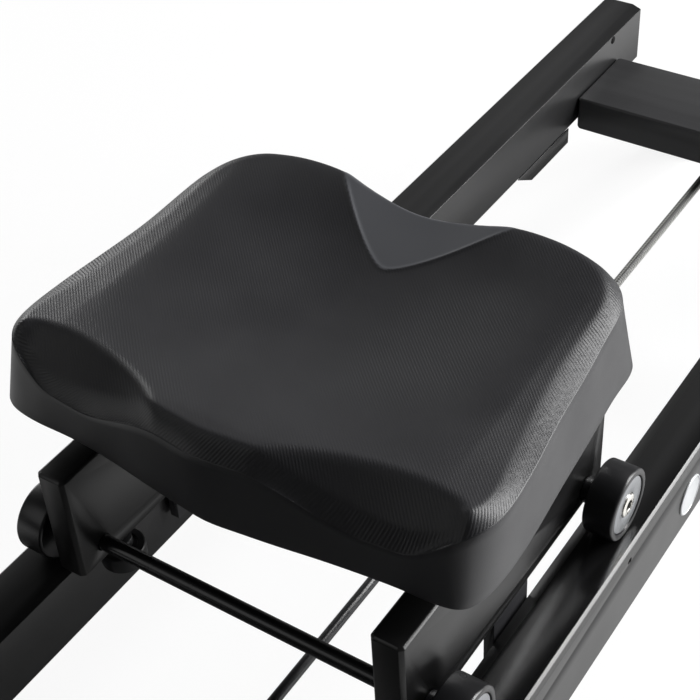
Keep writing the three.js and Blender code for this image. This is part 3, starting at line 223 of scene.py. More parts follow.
# Materials
def node(tree, kind, inputs=None, **settings):
    made = tree.nodes.new("ShaderNode" + kind)
    for key, value in settings.items():
        setattr(made, key, value)
    for key, value in (inputs or {}).items():
        socket = made.inputs[key]
        if isinstance(value, bpy.types.NodeSocket):
            tree.links.new(value, socket)
        else:
            socket.default_value = value
    return made


def new_material(name, color, roughness, metallic=0.0, specular=0.5):
    material = bpy.data.materials.new(name)
    material.use_nodes = True
    tree = material.node_tree
    shader = tree.nodes["Principled BSDF"]
    shader.inputs["Base Color"].default_value = (*color, 1.0)
    shader.inputs["Roughness"].default_value = roughness
    shader.inputs["Metallic"].default_value = metallic
    shader.inputs["Specular IOR Level"].default_value = specular
    return material, tree, shader


def place_of(tree, scale=(1.0, 1.0, 1.0)):
    """Where a point is on its piece, in metres, times scale."""
    place = node(tree, "TexCoord").outputs["Object"]
    return node(tree, "Mapping", {"Vector": place, "Scale": scale}).outputs["Vector"]


def noise(tree, scale, detail=3.0, rough=0.55, stretch=(1.0, 1.0, 1.0)):
    place = place_of(tree, stretch)
    settings = {"Vector": place, "Scale": scale, "Detail": detail, "Roughness": rough}
    return node(tree, "TexNoise", settings).outputs["Fac"]


def spread(value, low, high, start=0.0, end=1.0):
    """Maps a value from start..end to low..high."""
    settings = {"Value": value, "From Min": start, "From Max": end, "To Min": low, "To Max": high}
    return node(value.id_data, "MapRange", settings).outputs["Result"]


def varied(value, low, high):
    """Maps the range that most of a noise lies in to low..high."""
    return spread(value, low, high, 0.3, 0.7)


def shades(value, dark, light):
    """From dark at 0 to light at 1; each is a colour or a socket."""
    tree = value.id_data
    made = node(tree, "Mix", data_type="RGBA")
    sockets = [socket for socket in made.inputs if socket.type == "RGBA"]
    for socket, color in zip(sockets, (dark, light)):
        if isinstance(color, bpy.types.NodeSocket):
            tree.links.new(color, socket)
        else:
            socket.default_value = (*color, 1.0)
    tree.links.new(value, made.inputs["Factor"])
    return [socket for socket in made.outputs if socket.type == "RGBA"][0]


def math_node(operation, first, second=0.0):
    tree = (first if isinstance(first, bpy.types.NodeSocket) else second).id_data
    made = node(tree, "Math", operation=operation)
    for socket, value in zip(made.inputs, (first, second)):
        if isinstance(value, bpy.types.NodeSocket):
            tree.links.new(value, socket)
        else:
            socket.default_value = value
    return made.outputs[0]


def times(first, second):
    return math_node("MULTIPLY", first, second)


def plus(first, second):
    return math_node("ADD", first, second)


def minus(first, second):
    return math_node("SUBTRACT", first, second)


def dress(shader, color, roughness=None):
    links = shader.id_data.links
    links.new(color, shader.inputs["Base Color"])
    if roughness is not None:
        links.new(roughness, shader.inputs["Roughness"])


def bump(shader, height, distance, strength):
    tree = shader.id_data
    made = node(tree, "Bump", {"Height": height, "Distance": distance, "Strength": strength})
    tree.links.new(made.outputs["Normal"], shader.inputs["Normal"])


def edge_wear(tree, radius, sharpness=2.5):
    """1 on worn edges and 0 on flat faces."""
    rounder = node(tree, "Bevel", samples=4)
    rounder.inputs["Radius"].default_value = radius
    true = node(tree, "NewGeometry").outputs["Normal"]
    made = node(tree, "VectorMath", operation="DOT_PRODUCT")
    tree.links.new(rounder.outputs["Normal"], made.inputs[0])
    tree.links.new(true, made.inputs[1])
    off = minus(1.0, made.outputs["Value"])
    return spread(times(off, sharpness), 0.0, 1.0)


WOOD_ACROSS = 90.0  # how fine the wood's fibres are across the grain
WOOD_ALONG = 3.0
WOOD_FINE = 8  # how many times finer the second layer of fibres is
BARE_WOOD = (0.075, 0.075, 0.078)
RAIL_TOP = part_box("rail_right")[1].z
TRACK_X = 135.0 * MM  # a faint lighter line along the rails' tops, over the rollers' path, from the machine's middle
TRACK_WIDTH = 1.5 * MM, 5.0 * MM  # its plain half width and where it has faded


def black_wood(name, grain, track=False, dark=0.004, light=0.007, polish=0.0):
    """Black stained wood under a satin lacquer; grain is the axis that the fibres run along.
    A track is a faint lighter line along the rails' tops, over where the rollers run, and polish is how
    much smoother they are there."""
    material, tree, shader = new_material(name, (light, light, light), 0.45)
    scales = [WOOD_ALONG if axis == grain else WOOD_ACROSS for axis in "XYZ"]
    fibres = noise(tree, 1.0, 5.0, 0.6, scales)
    clouds = noise(tree, 9.0)
    scales = [scale if scale == WOOD_ALONG else scale * WOOD_FINE for scale in scales]
    fine = noise(tree, 1.0, 2.0, stretch=scales)
    tone = plus(times(fibres, 0.6), times(clouds, 0.4))
    pair = (dark, dark, dark * 1.05), (light, light, light * 1.04)
    base = shades(spread(tone, 0.0, 1.0, 0.35, 0.65), *pair)
    worn_edges_and_track = times(edge_wear(tree, 0.9 * MM), 0.1)
    roughness = varied(clouds, 0.28, 0.38)
    if track:
        split = node(tree, "SeparateXYZ", {"Vector": place_of(tree)})
        beside = minus(math_node("ABSOLUTE", split.outputs["X"]), TRACK_X)
        line = spread(math_node("ABSOLUTE", beside), 0.04, 0.0, *TRACK_WIDTH)
        top = math_node("GREATER_THAN", split.outputs["Z"], RAIL_TOP - 0.5 * MM)
        worn_edges_and_track = math_node("MAXIMUM", worn_edges_and_track, times(line, top))
        roughness = minus(roughness, times(top, polish))
    dress(shader, shades(worn_edges_and_track, base, BARE_WOOD), roughness)
    bump(shader, times(plus(fibres, fine), 0.5), 0.02 * MM, 0.5)
    return material


def grained(name, color, roughness, grain=700.0, depth=0.05, specular=0.5, metallic=0.0, spots=0.06):
    """Moulded plastic, rubber or powder coat: a fine grain with slight changes of shade and gloss."""
    material, tree, shader = new_material(name, color, roughness, metallic, specular)
    fine = noise(tree, grain, 2.0)
    clouds = noise(tree, 14.0)
    low = tuple(c * 0.82 for c in color)
    high = tuple(min(1.0, c * 1.18) for c in color)
    tone = shades(spread(clouds, 0, 1, 0.35, 0.65), low, high)
    dress(shader, tone, varied(clouds, roughness - spots, roughness + spots))
    bump(shader, fine, depth * MM, 0.6)
    return material


MARKS_ALONG = 4.0  # scale of the marks in brushed metal
MARKS_ACROSS = 900.0


def brushed(name, color, roughness, axis):
    """Metal with fine marks along an axis."""
    material, tree, shader = new_material(name, color, roughness, 1.0)
    scales = [MARKS_ALONG if one == axis else MARKS_ACROSS for one in "XYZ"]
    marks = noise(tree, 1.0, stretch=scales)
    tone = shades(marks, tuple(0.85 * c for c in color), color)
    dress(shader, tone, varied(marks, roughness - 0.08, roughness + 0.1))
    bump(shader, marks, 0.01 * MM, 0.4)
    return material


def woven(name, color, pitch, depth, stretches=True):
    """Webbing: a plain weave across the strap and along it."""
    material, tree, shader = new_material(name, color, 0.75, 0.0, 0.3)
    place = node(tree, "Attribute", attribute_name="weave").outputs["Vector"]
    split = node(tree, "SeparateXYZ", {"Vector": place if stretches else place_of(tree)})
    turn = 2 * math.pi / pitch
    along = plus(split.outputs["Y"], split.outputs["Z"])
    warp = math_node("SINE", times(split.outputs["X"], turn))
    weft = math_node("SINE", times(along, turn))
    height = spread(times(warp, weft), 0, 1, -1, 1)
    pair = tuple(0.6 * c for c in color), tuple(1.3 * c for c in color)
    # painted shade: the weave is darker where it lies low and lighter on its crests
    dress(shader, shades(height, *pair))
    shader.inputs["Sheen Weight"].default_value = 0.15
    bump(shader, height, depth * MM, 0.7)
    return material


def clear(name, color, alpha, roughness):
    """Clear plastic or water: see-through, with plain highlights and faint streaks of gloss."""
    material, tree, shader = new_material(name, color, roughness)
    shader.inputs["Alpha"].default_value = alpha
    clouds = noise(tree, 12.0)
    tree.links.new(varied(clouds, roughness * 0.7, roughness * 1.5), shader.inputs["Roughness"])
    bump(shader, noise(tree, 20.0, 2.0), 0.3 * MM, 0.3)
    return material


BRAID_TURNS = 4  # strands round a cord each way
BRAID_PITCH = 5.0 * MM
PAINTED_LINE_WIDTH = 0.04, 0.1  # plain half width of the painted dark line, and where it has faded, in turns round the cord


def braided(name, color, depth, painted_dark_line=None):
    """A braided cord: turns round the cord in the first number, metres along it in the second.
    The last argument, when given, puts a painted dark line along the cord at that place round it, as
    painted reflection down a glossy cord's crest."""
    material, tree, shader = new_material(name, color, 0.32, 0.0, 0.6)
    place = node(tree, "Attribute", attribute_name="weave").outputs["Vector"]
    split = node(tree, "SeparateXYZ", {"Vector": place})
    turns = times(split.outputs["X"], 2 * math.pi * BRAID_TURNS)
    along = times(split.outputs["Y"], 2 * math.pi / BRAID_PITCH)
    one = math_node("SINE", plus(along, turns))
    other = math_node("SINE", minus(along, turns))
    height = spread(times(one, other), 0, 1, -1, 1)
    # painted shade: the braid is darker where it lies low and lighter on its crests
    tone = height
    # painted reflection: a dark line along the cord
    if painted_dark_line is not None:
        off = math_node("ABSOLUTE", minus(split.outputs["X"], painted_dark_line))
        tone = times(height, spread(off, 0.0, 1.0, *PAINTED_LINE_WIDTH))
    dark = 0.8 if painted_dark_line is None else 0.08
    pair = tuple(dark * c for c in color), tuple(1.3 * c for c in color)
    dress(shader, shades(tone, *pair))
    bump(shader, height, depth * MM, 0.7)
    return material


materials = {
    "wood_y": black_wood("black_wood_along", "Y"),
    "wood_x": black_wood("black_wood_across", "X"),
    "wood_z": black_wood("black_wood_upright", "Z"),
    # The rails are the same black wood as the rest: the left rail is coloured lighter as painted light,
    # and the right rail darker as painted shade, for how light falls on them.
    "rail_left_wood_painted_light": black_wood("black_wood_left_rail", "Y", True, 0.007, 0.011),
    "rail_right_wood_painted_shade": black_wood("black_wood_right_rail", "Y", True, 0.0025, 0.0045, 0.12),
    # The spreader is the same black wood coloured lighter, as painted light.
    "spreader_wood_painted_light": black_wood("black_wood_spreader", "X", False, 0.028, 0.042),
    "steel_black": grained("black_steel", (0.018, 0.018, 0.02), 0.42, 1100.0, 0.03),
    "plastic": grained("black_plastic", (0.022, 0.022, 0.024), 0.5, 800.0, 0.05),
    "rubber": grained("black_rubber", (0.018, 0.018, 0.018), 0.75, 500.0, 0.06, 0.3),
    "grip": grained("grip_rubber", (0.02, 0.02, 0.021), 0.7, 600.0, 0.06, 0.35),
    "roller": grained("roller_black", (0.009, 0.009, 0.01), 0.33, 900.0, 0.02),
    # black for the rail pins, and painted shade on the floors of the screws' sockets
    "pin_black_and_socket_shade": grained("socket_black", (0.004, 0.004, 0.004), 0.7, 900.0, 0.02, 0.1),
    "badge": grained("badge_grey", (0.45, 0.46, 0.47), 0.4, 900.0, 0.02, 0.5, 0.3),
    "silver": brushed("silver_face", (0.34, 0.35, 0.365), 0.38, "X"),
    "bright": brushed("bright_steel", (0.85, 0.83, 0.78), 0.25, "X"),
    "steel": brushed("satin_steel", (0.6, 0.6, 0.62), 0.32, "Z"),
    "axle": grained("axle_black", (0.01, 0.01, 0.011), 0.24, 1200.0, 0.01, 0.6),
    "webbing": woven("webbing", (0.02, 0.02, 0.022), 1.6 * MM, 0.2),
    "strap": woven("webbing_fixed", (0.02, 0.02, 0.022), 1.6 * MM, 0.2, False),
    "cord": grained("cord_fixed", (0.022, 0.022, 0.024), 0.7, 400.0, 0.3, 0.35),
    "braid": braided("cord_braid", (0.02, 0.02, 0.022), 0.04),
    # The bungee's grey is painted highlight and its dark line painted reflection: the light sides and
    # dark crest of a glossy dark cord.
    "bungee": braided("bungee_braid", (0.42, 0.42, 0.4), 0.1, 0.18),
    "shell": clear("clear_shell", (0.66, 0.7, 0.72), 0.14, 0.07),
    "water": clear("water", (0.06, 0.24, 0.4), 0.42, 0.03),
    "glass": clear("screen_glass", (0.05, 0.055, 0.06), 0.25, 0.05),
    "lcd": grained("display_panel", (0.33, 0.38, 0.33), 0.5, 900.0, 0.01),
    "ink": grained("display_ink", (0.012, 0.014, 0.013), 0.6, 900.0, 0.01),
}


# Seat cushion. Sizes in millimetres; x from the seat's middle, y from the blocks' front face,
# heights above the cushion's bottom.
CUSHION_OUTLINE = [
    (0, 5.5), (20, 7.5), (40, 10), (60, 13), (80, 15.5), (100, 17.5), (114, 19), (124, 21.5),
    (133, 25), (140, 32), (143.5, 42), (144.5, 55), (144, 70), (143, 85), (141.5, 100),
    (139.8, 118), (138.2, 138), (136.6, 157), (135, 172), (133, 186), (129.6, 198), (123.1, 208.6),
    (113, 217.2), (99.5, 223), (85, 226.5), (68, 227.5), (55, 226), (42, 222), (28, 218),
    (14, 215.5), (0, 214.5),
]
CUSHION_MIDDLE = 115.0
CUSHION_SHIFT = -3.0
CUSHION_DEPTH = 220
SEAM_HEIGHT = 47.5
DIP_DEPTH = 19.5  # how far the seam dips ahead of each thigh scoop
DIP_START = 22, 88  # from the middle out, where the dip grows
DIP_END = 104, 145
DIP_BACK = 20, 60
REAR_DIP = 3.0  # how far the seam dips at the tailbone notch
REAR_DIP_WIDTH = 45
REAR_DIP_START = 172, 216
SEAM_RISE = 7.0  # how far the seam climbs at the rear corners
RISE_START = 130, 208
RISE_SIDE = 60, 112
SEAM_LEAN = 4.2  # how far the right wall leans in towards the rear
LEAN_START = 20, 140
LEAN_SIDE = 60, 120
LEAN_FADE = 165, 215  # the rear corner, where three quarters of the lean are gone again
FRONT_SHOULDER = 9.0  # width of the rounded edge
SIDE_SHOULDER = 13.5
NOTCH_SHOULDER = 4.0
SHOULDER_START = 30, 80  # where the front's width turns into the sides'
NOTCH_HALF = 42
NOTCH_REAR = 185, 205
CORNER_NARROWING = 2.5  # how much narrower the edge is round the rear corners
NARROWING_START = 140, 200
SHOULDER_POWER = 2.1  # 2 is a parabola, 1 a flat chamfer
# Squarer bottom corners: middle x and y, how far the bottom stands out, how far that spreads
FLARES = [(-140, 32, 11, 30), (130, 23, 5, 16), (120, 211, 10, 18), (-120, 211, 9, 18)]
WALL_LIP = 0.5
WALL_DRAW = 0.8
WALL_ROUND = 3.0
SEAM_LIP = 0.3, 0.12  # how far the wall's top edge stands out, and how far below the seam
SCOOP_INNER, SCOOP_MIDDLE, SCOOP_OUTER = 28, 110, 140  # the thigh scoops, from the middle out
SCOOP_START, SCOOP_END = 8.0, 42
SCOOP_RISE = 10  # height over the seam that a scoop's slope has at its crease
RIM_FRONT, RIM_REAR = 11.5, 16  # height of the rim over the seam
RIM_SAG = 10  # how much lower the sides are
SAG_MIDDLE, SAG_REACH, SAG_HALF = 110, 105, 130
DISH_DEPTH = 20.6
DISH_HALF = 115
DISH_MIDDLE = 120
DISH_REACH = 100
NOTCH_START = 172
NOTCH_TIP = 5.0  # radius of the notch's tip
NOTCH_SLOPE = 0.7
NOTCH_CURVE = 0.0045
NOTCH_CLIMB = 0.28  # rise of the notch's floor towards the rear
BEAD_HEIGHT = 0.6
BEAD_WIDTH = 1.0
BEAD_END = 46, 56
RIB_TURN = 2.12  # one rib along X or along Y
BAND_PITCH = 2.1
BAND_SLANT = 0.69
BAND_END = 0.62, 0.9  # shares of the edge's width over which the band of ribs ends
RIB_FADE = 0.4
AROUND = 480  # points round the outline
SPAN_STEPS = 40  # points of the outline's curve between two given ones
FOOT_STEPS, WALL_STEPS, EDGE_STEPS = 5, 8, 16  # rings of the foot's round edge, the wall and the rim
FINE_REACH, FINE_STEP = 62.0, 1.15  # the close rings inside the rim
CROWN_RINGS = 44


def smooth(start, end, value):
    t = np.clip((value - start) / (end - start), 0.0, 1.0)
    return t * t * (3 - 2 * t)


def seam_height(x, y):
    half = np.abs(x)
    front = smooth(*DIP_START, half) * (1 - smooth(*DIP_END, half))
    dip = DIP_DEPTH * front * (1 - smooth(*DIP_BACK, y))
    rear = REAR_DIP * np.exp(-((x / REAR_DIP_WIDTH) ** 2)) * smooth(*REAR_DIP_START, y)
    corner = SEAM_RISE * smooth(*RISE_START, y) * smooth(*RISE_SIDE, half)
    return SEAM_HEIGHT - dip - rear + corner


def lower_of(a, b, blend):
    """The lower of two heights, rounded over where they cross."""
    h = np.maximum(0, 1 - np.abs(a - b) / (2 * blend))
    return np.minimum(a, b) - h * h * blend / 2


def crease_at(half):
    """How far back the crease of a thigh scoop is, at a distance from the middle."""
    inward = np.maximum(0, 1 - ((half - SCOOP_MIDDLE) / (SCOOP_INNER - SCOOP_MIDDLE)) ** 2) ** 0.8
    outward = np.maximum(0, 1 - ((half - SCOOP_MIDDLE) / (SCOOP_OUTER - SCOOP_MIDDLE)) ** 4) ** 0.5
    inside = (half > SCOOP_INNER) & (half < SCOOP_OUTER)
    bow = np.where(half < SCOOP_MIDDLE, inward, outward)
    return np.where(inside, SCOOP_START + (SCOOP_END - SCOOP_START) * bow, SCOOP_START)


def dish_height(x, y):
    half = np.abs(x)
    rise = RIM_FRONT + (RIM_REAR - RIM_FRONT) * y / CUSHION_DEPTH
    beside = np.maximum(0, 1 - ((y - SAG_MIDDLE) / SAG_REACH) ** 2)
    rim = SEAM_HEIGHT + rise - RIM_SAG * beside * (x / SAG_HALF) ** 2
    across = np.maximum(0, 1 - (half / DISH_HALF) ** 2)
    front = ((DISH_MIDDLE - y) / DISH_REACH) ** 2
    rear = (np.maximum(0, y - DISH_MIDDLE) / DISH_REACH) ** 3
    ends = np.where(y < DISH_MIDDLE, front, rear)
    return rim - DISH_DEPTH * (across * np.maximum(0, 1 - ends)) ** 1.5


def notch_edge(x):
    """How far back the tailbone notch starts at x, and its edge's slope there."""
    away = np.hypot(x, NOTCH_TIP) - NOTCH_TIP
    edge = NOTCH_START + NOTCH_SLOPE * away + NOTCH_CURVE * away ** 2
    return edge, (NOTCH_SLOPE + 2 * NOTCH_CURVE * away) * x / np.hypot(x, NOTCH_TIP)


def top_height(x, y):
    """Height of the seat's top and how far a point is inside the notch, across its edge."""
    half = np.abs(x)
    dish = dish_height(x, y)
    facet = SEAM_HEIGHT + SCOOP_RISE - (crease_at(half) - y)
    in_scoop = (y < SCOOP_END + 3) & (half > SCOOP_INNER)
    scooped = np.where(in_scoop, lower_of(dish, facet, 2.0), dish)
    edge, slope = notch_edge(x)
    inside = (y - edge) / np.hypot(1.0, slope)
    floor = dish_height(x, edge) + NOTCH_CLIMB * (y - edge)
    bead = BEAD_HEIGHT * np.exp(-((inside / BEAD_WIDTH) ** 2)) * (1 - smooth(*BEAD_END, half))
    return np.where(inside > 0, floor, scooped) + bead, inside


def cushion_outline():
    """The seam's points, and how far round each is, counted from the tailbone notch."""
    right = np.array(CUSHION_OUTLINE, float)
    left = right[-2:0:-1] * (-1, 1)
    loop = np.vstack([right, left, right[:1]])
    given = loop[:-1]
    before, after, later = np.roll(given, 1, 0), np.roll(given, -1, 0), np.roll(given, -2, 0)
    spans = []
    for t in np.arange(SPAN_STEPS) / SPAN_STEPS:
        spans.append(
            given
            + t * (after - before) / 2
            + t * t * (before - 2.5 * given + 2 * after - 0.5 * later)
            + t ** 3 * (1.5 * given - 1.5 * after + 0.5 * (later - before))
        )
    curve = np.stack(spans, 1).reshape(-1, 2)
    curve = np.vstack([curve, curve[:1]])
    run = np.concatenate([[0], np.cumsum(np.hypot(*np.diff(curve, axis=0).T))])
    wanted = np.linspace(0, run[-1], AROUND, endpoint=False)
    even = np.stack([np.interp(wanted, run, curve[:, k]) for k in (0, 1)], 1)
    for _ in range(2):
        even = sum(np.roll(even, k, 0) for k in (-2, -1, 0, 1, 2)) / 5
    return even, np.roll(wanted, AROUND // 2)


def cushion_rings():
    """Rings of points from the foot of the wall to the crown, each point's marks (on the ribbed top, in
    the rim's band, in the notch), how far round each is, and which ring is the seam."""
    outline, run = cushion_outline()
    out = np.roll(outline, -1, 0) - np.roll(outline, 1, 0)
    out = np.stack([out[:, 1], -out[:, 0]], 1)
    out /= np.linalg.norm(out, axis=1)[:, None]
    lean = SEAM_LEAN * smooth(*LEAN_START, outline[:, 1]) * smooth(*LEAN_SIDE, outline[:, 0])
    lean *= 1 - 0.75 * smooth(*LEAN_FADE, outline[:, 1])
    seam = outline - out * lean[:, None]
    inward = np.array([0.0, CUSHION_MIDDLE]) - seam
    reach = np.linalg.norm(inward, axis=1)
    inward /= reach[:, None]
    flare = np.zeros(AROUND)
    for x, y, amount, spread_out in FLARES:
        flare += amount * np.exp(-((seam[:, 0] - x) ** 2 + (seam[:, 1] - y) ** 2) / spread_out ** 2)
    foot = outline - inward * flare[:, None]
    low = seam_height(*seam.T)
    flat = np.zeros(AROUND)
    rings, marks = [], []

    def add_ring(xy, z, ribbed=flat, edge=flat, notch=flat):
        rings.append(np.column_stack([xy, z]))
        marks.append(np.column_stack([ribbed, edge, notch]))

    # the wall, from the bottom up to the seam
    add_ring(foot - out * (WALL_DRAW + WALL_ROUND), flat)
    for k in range(1, FOOT_STEPS + 1):
        angle = math.pi / 2 * k / FOOT_STEPS
        draw = WALL_DRAW + WALL_ROUND * (1 - math.sin(angle))
        add_ring(foot - out * draw, flat + WALL_ROUND * (1 - math.cos(angle)))
    for k in range(1, WALL_STEPS + 1):
        t = k / WALL_STEPS
        place = foot * (1 - t) + seam * t + out * (WALL_LIP * t - WALL_DRAW * (1 - t))
        add_ring(place, WALL_ROUND + (low - WALL_LIP - WALL_ROUND) * t)
    lip_out, lip_drop = SEAM_LIP
    add_ring(seam + out * lip_out, low - lip_drop)
    seam_row = len(rings)
    add_ring(seam, low)

    # the rounded edge and the top
    side = smooth(*SHOULDER_START, seam[:, 1])
    width = FRONT_SHOULDER + (SIDE_SHOULDER - FRONT_SHOULDER) * side
    notch_near = np.exp(-((seam[:, 0] / NOTCH_HALF) ** 4)) * smooth(*NOTCH_REAR, seam[:, 1])
    width += (NOTCH_SHOULDER - SIDE_SHOULDER) * notch_near
    width -= CORNER_NARROWING * smooth(*NARROWING_START, seam[:, 1]) * (1 - notch_near)
    angles = [math.pi / 2 * k / EDGE_STEPS for k in range(1, EDGE_STEPS)]
    insets = [SIDE_SHOULDER * (1 - math.cos(angle)) for angle in angles]
    insets += list(np.arange(SIDE_SHOULDER, FINE_REACH, FINE_STEP))
    moves = [np.full(AROUND, inset) for inset in insets]
    for share in np.linspace(0.0, 1.0, CROWN_RINGS)[1:-1]:
        moves.append(insets[-1] + (reach - insets[-1]) * share)
    for moved in moves:
        xy = seam + inward * moved[:, None]
        start = seam_height(*xy.T)
        top, notch = top_height(*xy.T)
        swell = 1 - np.maximum(0, 1 - moved / width) ** SHOULDER_POWER
        ribbed = 1 - smooth(-RIB_FADE, RIB_FADE, notch)
        edge = 1 - smooth(*BAND_END, moved / width)
        add_ring(xy, start + (top - start) * swell, ribbed, edge, 1 - ribbed)
    return np.array(rings), np.array(marks), run, seam_row


def build_cushion():
    rings, marks, run, seam_row = cushion_rings()
    count = len(rings)
    last = (count - 1) * AROUND
    crown, sole = last + AROUND, last + AROUND + 1
    faces = ring_faces(count, AROUND)
    for i in range(AROUND):
        faces.append((last + i, last + (i + 1) % AROUND, crown))
    for i in range(AROUND):
        faces.append(((i + 1) % AROUND, i, sole))
    top, _ = top_height(np.zeros(1), np.full(1, CUSHION_MIDDLE))
    ends = [[0, CUSHION_MIDDLE, top[0]], [0, CUSHION_MIDDLE, 0]]
    points = np.vstack([rings.reshape(-1, 3), ends])
    marks = np.vstack([marks.reshape(-1, 3), [[1, 0, 0], [0, 0, 0]]])
    along = np.append(np.tile(run, count), [0, 0])
    depth = np.zeros((count, AROUND))
    depth[seam_row:] = np.cumsum(np.linalg.norm(np.diff(rings[seam_row - 1:], axis=0), axis=2), axis=0)
    depth = np.append(depth.ravel(), [0, 0])
    block_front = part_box("side_block_right")[0].y
    place = np.array([CUSHION_SHIFT * MM, block_front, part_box("seat_cushion")[0].z])
    cushion = new_piece("seat_pad", points * MM + place, faces)
    numbers = {
        "rib_top": (points[:, 0] + points[:, 1]) / RIB_TURN,
        "rib_band": (along - BAND_SLANT * depth) / BAND_PITCH,
        "ribbed": marks[:, 0],
        "edge_band": marks[:, 1],
        "notch": marks[:, 2],
    }
    for title, values in numbers.items():
        attribute = cushion.data.attributes.new(title, "FLOAT", "POINT")
        attribute.data.foreach_set("value", values.astype(np.float32))
    cushion.data.materials.append(cushion_material())
    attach(cushion, "carriage")
    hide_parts("seat_cushion")


def marked(tree, title):
    """A number that the cushion's points carry."""
    return node(tree, "Attribute", attribute_name=title).outputs["Fac"]


def cushion_material():
    """Moulded foam skin: fine slanting ribs on top, a band of ribs round the rim, plain walls."""
    material, tree, shader = new_material("seat_foam", (0.026, 0.026, 0.029), 0.5, 0.0, 0.45)
    edge = marked(tree, "edge_band")
    mixed = node(tree, "Mix", data_type="FLOAT")
    tree.links.new(edge, mixed.inputs["Factor"])
    for title, side in (("rib_top", "A"), ("rib_band", "B")):
        wave = math_node("SINE", times(marked(tree, title), 2 * math.pi))
        tree.links.new(wave, mixed.inputs[side])
    ribs = times(mixed.outputs["Result"], marked(tree, "ribbed"))
    fine = noise(tree, 1500.0, 2.0)
    patches = noise(tree, 22.0)
    knots = noise(tree, 520.0, 2.0)
    ribs = times(ribs, times(spread(edge, 0.42, 0.8), varied(knots, 0.4, 1.6)))
    height = plus(spread(ribs, 0, 1, -1, 1), times(fine, 0.25))
    # painted shade and random tone: the skin is darker in the ribs' grooves and lighter on their crests,
    # and the patches vary at random
    tone = plus(spread(ribs, 0.1, 0.5, -1, 1), times(patches, 0.4))
    skin = shades(tone, (0.012, 0.012, 0.0135), (0.021, 0.021, 0.0235))
    # painted light: the notch is coloured lighter, for the light that its smooth slopes catch
    color = shades(times(marked(tree, "notch"), 0.85), skin, (0.078, 0.08, 0.088))
    dress(shader, color, varied(patches, 0.39, 0.47))
    bump(shader, height, 0.15 * MM, 0.8)
    return material


build_cushion()


# CAD pieces that stay: their materials and softened edges
LOOKS = {
    # material: what the names of the pieces that have it start with
    "rail_left_wood_painted_light": ("rail_left",),
    "rail_right_wood_painted_shade": ("rail_right",),
    "spreader_wood_painted_light": ("rear_spreader",),
    "wood_x": ("front_board", "carrier_board", "tank_shelf"),
    "wood_y": ("side_block", "deck_board", "base_side", "stop_block"),
    "wood_z": ("rear_leg",),
    "plastic": ("seat_base_plate", "footboard", "monitor_case"),
    "steel_black": ("glide_bracket", "strap_tower", "monitor_arm", "strap_clamp", "bungee_anchor"),
    "rubber": ("rear_foot", "heel_rest", "tank_gasket"),
    "shell": ("tank_lower_shell", "tank_upper_shell"),
    "glass": ("monitor_screen",),
    "steel": ("monitor_button", "paddle"),
    "strap": ("drive_strap",),
    "cord": ("recoil_cord_front",),
}


def named(*starts):
    return [piece for name, piece in nodes.items() if name.startswith(starts)]


for material, starts in LOOKS.items():
    for piece in named(*starts):
        piece.data.materials.clear()
        piece.data.materials.append(materials[material])
for piece in nodes.values():
    crease_sharp(piece)
SOFT_EDGES = {
    # width in millimetres: the pieces
    0.35: ("rail_",),
    0.5: ("rear_spreader", "side_block", "seat_base_plate", "rear_leg", "stop_block", "base_side",
          "deck_board"),
    0.9: ("front_board", "carrier_board", "tank_shelf", "footboard", "heel_rest", "rear_foot"),
    0.4: ("glide_bracket", "strap_tower", "monitor_arm", "strap_clamp", "bungee_anchor", "monitor_case"),
}
for width, starts in SOFT_EDGES.items():
    for piece in named(*starts):
        soften(piece, width * MM)


# Pieces modelled again here, in millimetres
SIDES = {"left": -1, "right": 1}
ALONG_X, ALONG_Y, ALONG_Z = (1, 0, 0), (0, 1, 0), (0, 0, 1)
EASE_STEPS = 4


def fit(piece, like, material, instead=()):
    """Puts a piece on the body that the CAD node `like` rides on, in place of the nodes in `instead`."""
    piece.data.materials.append(materials[material])
    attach(piece, nodes[like].parent.name.split(":")[1])
    for name in instead:
        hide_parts(name)
    return piece


def span(name, axis):
    """From where to where a CAD piece reaches along an axis."""
    return [round(corner["xyz".index(axis)] / MM, 2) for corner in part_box(name)]


def middle_of(name):
    return [round(sum(span(name, axis)) / 2, 2) for axis in "xyz"]


def radius_of(name):
    """Half a CAD piece's height."""
    low, high = span(name, "z")
    return round((high - low) / 2, 2)


def eased(radius, low, high, ease):
    """Rows of a rounded cylinder from low to high."""
    angles = [math.pi / 2 * k / EASE_STEPS for k in range(EASE_STEPS + 1)]
    core = radius - ease
    rows = [(core + ease * math.sin(angle), low + ease - ease * math.cos(angle)) for angle in angles]
    rows += [(core + ease * math.cos(angle), high - ease + ease * math.sin(angle)) for angle in angles]
    return rows


def screw(name, centre, axis, like, radius, height, socket, material="steel_black", dark=True):
    """A round screw head with a hexagonal socket, standing on its centre.
    Dark puts a black disc on the socket's floor, as painted shade in the recess."""
    ease = radius * 0.16
    depth = height * 0.25
    rows = [(0, depth), (socket, depth, 6), (socket, height - 0.15, 6)]
    rows += [(socket + 0.25, height), (radius - ease, height)]
    rows += [(radius - ease * 0.3, height - ease * 0.3), (radius, height - ease), (radius, 0), (0, 0)]
    fit(lathe(name, rows, centre, axis, 48), like, material)
    if dark:
        # painted shade: a black disc deep in the socket stands in for the shade there
        inner = socket - 0.05
        floor = [(0, depth), (inner, depth, 6), (inner, depth + 0.1, 6), (0, depth + 0.1)]
        fit(lathe(name + "_socket", floor, centre, axis, 48), like, "pin_black_and_socket_shade")


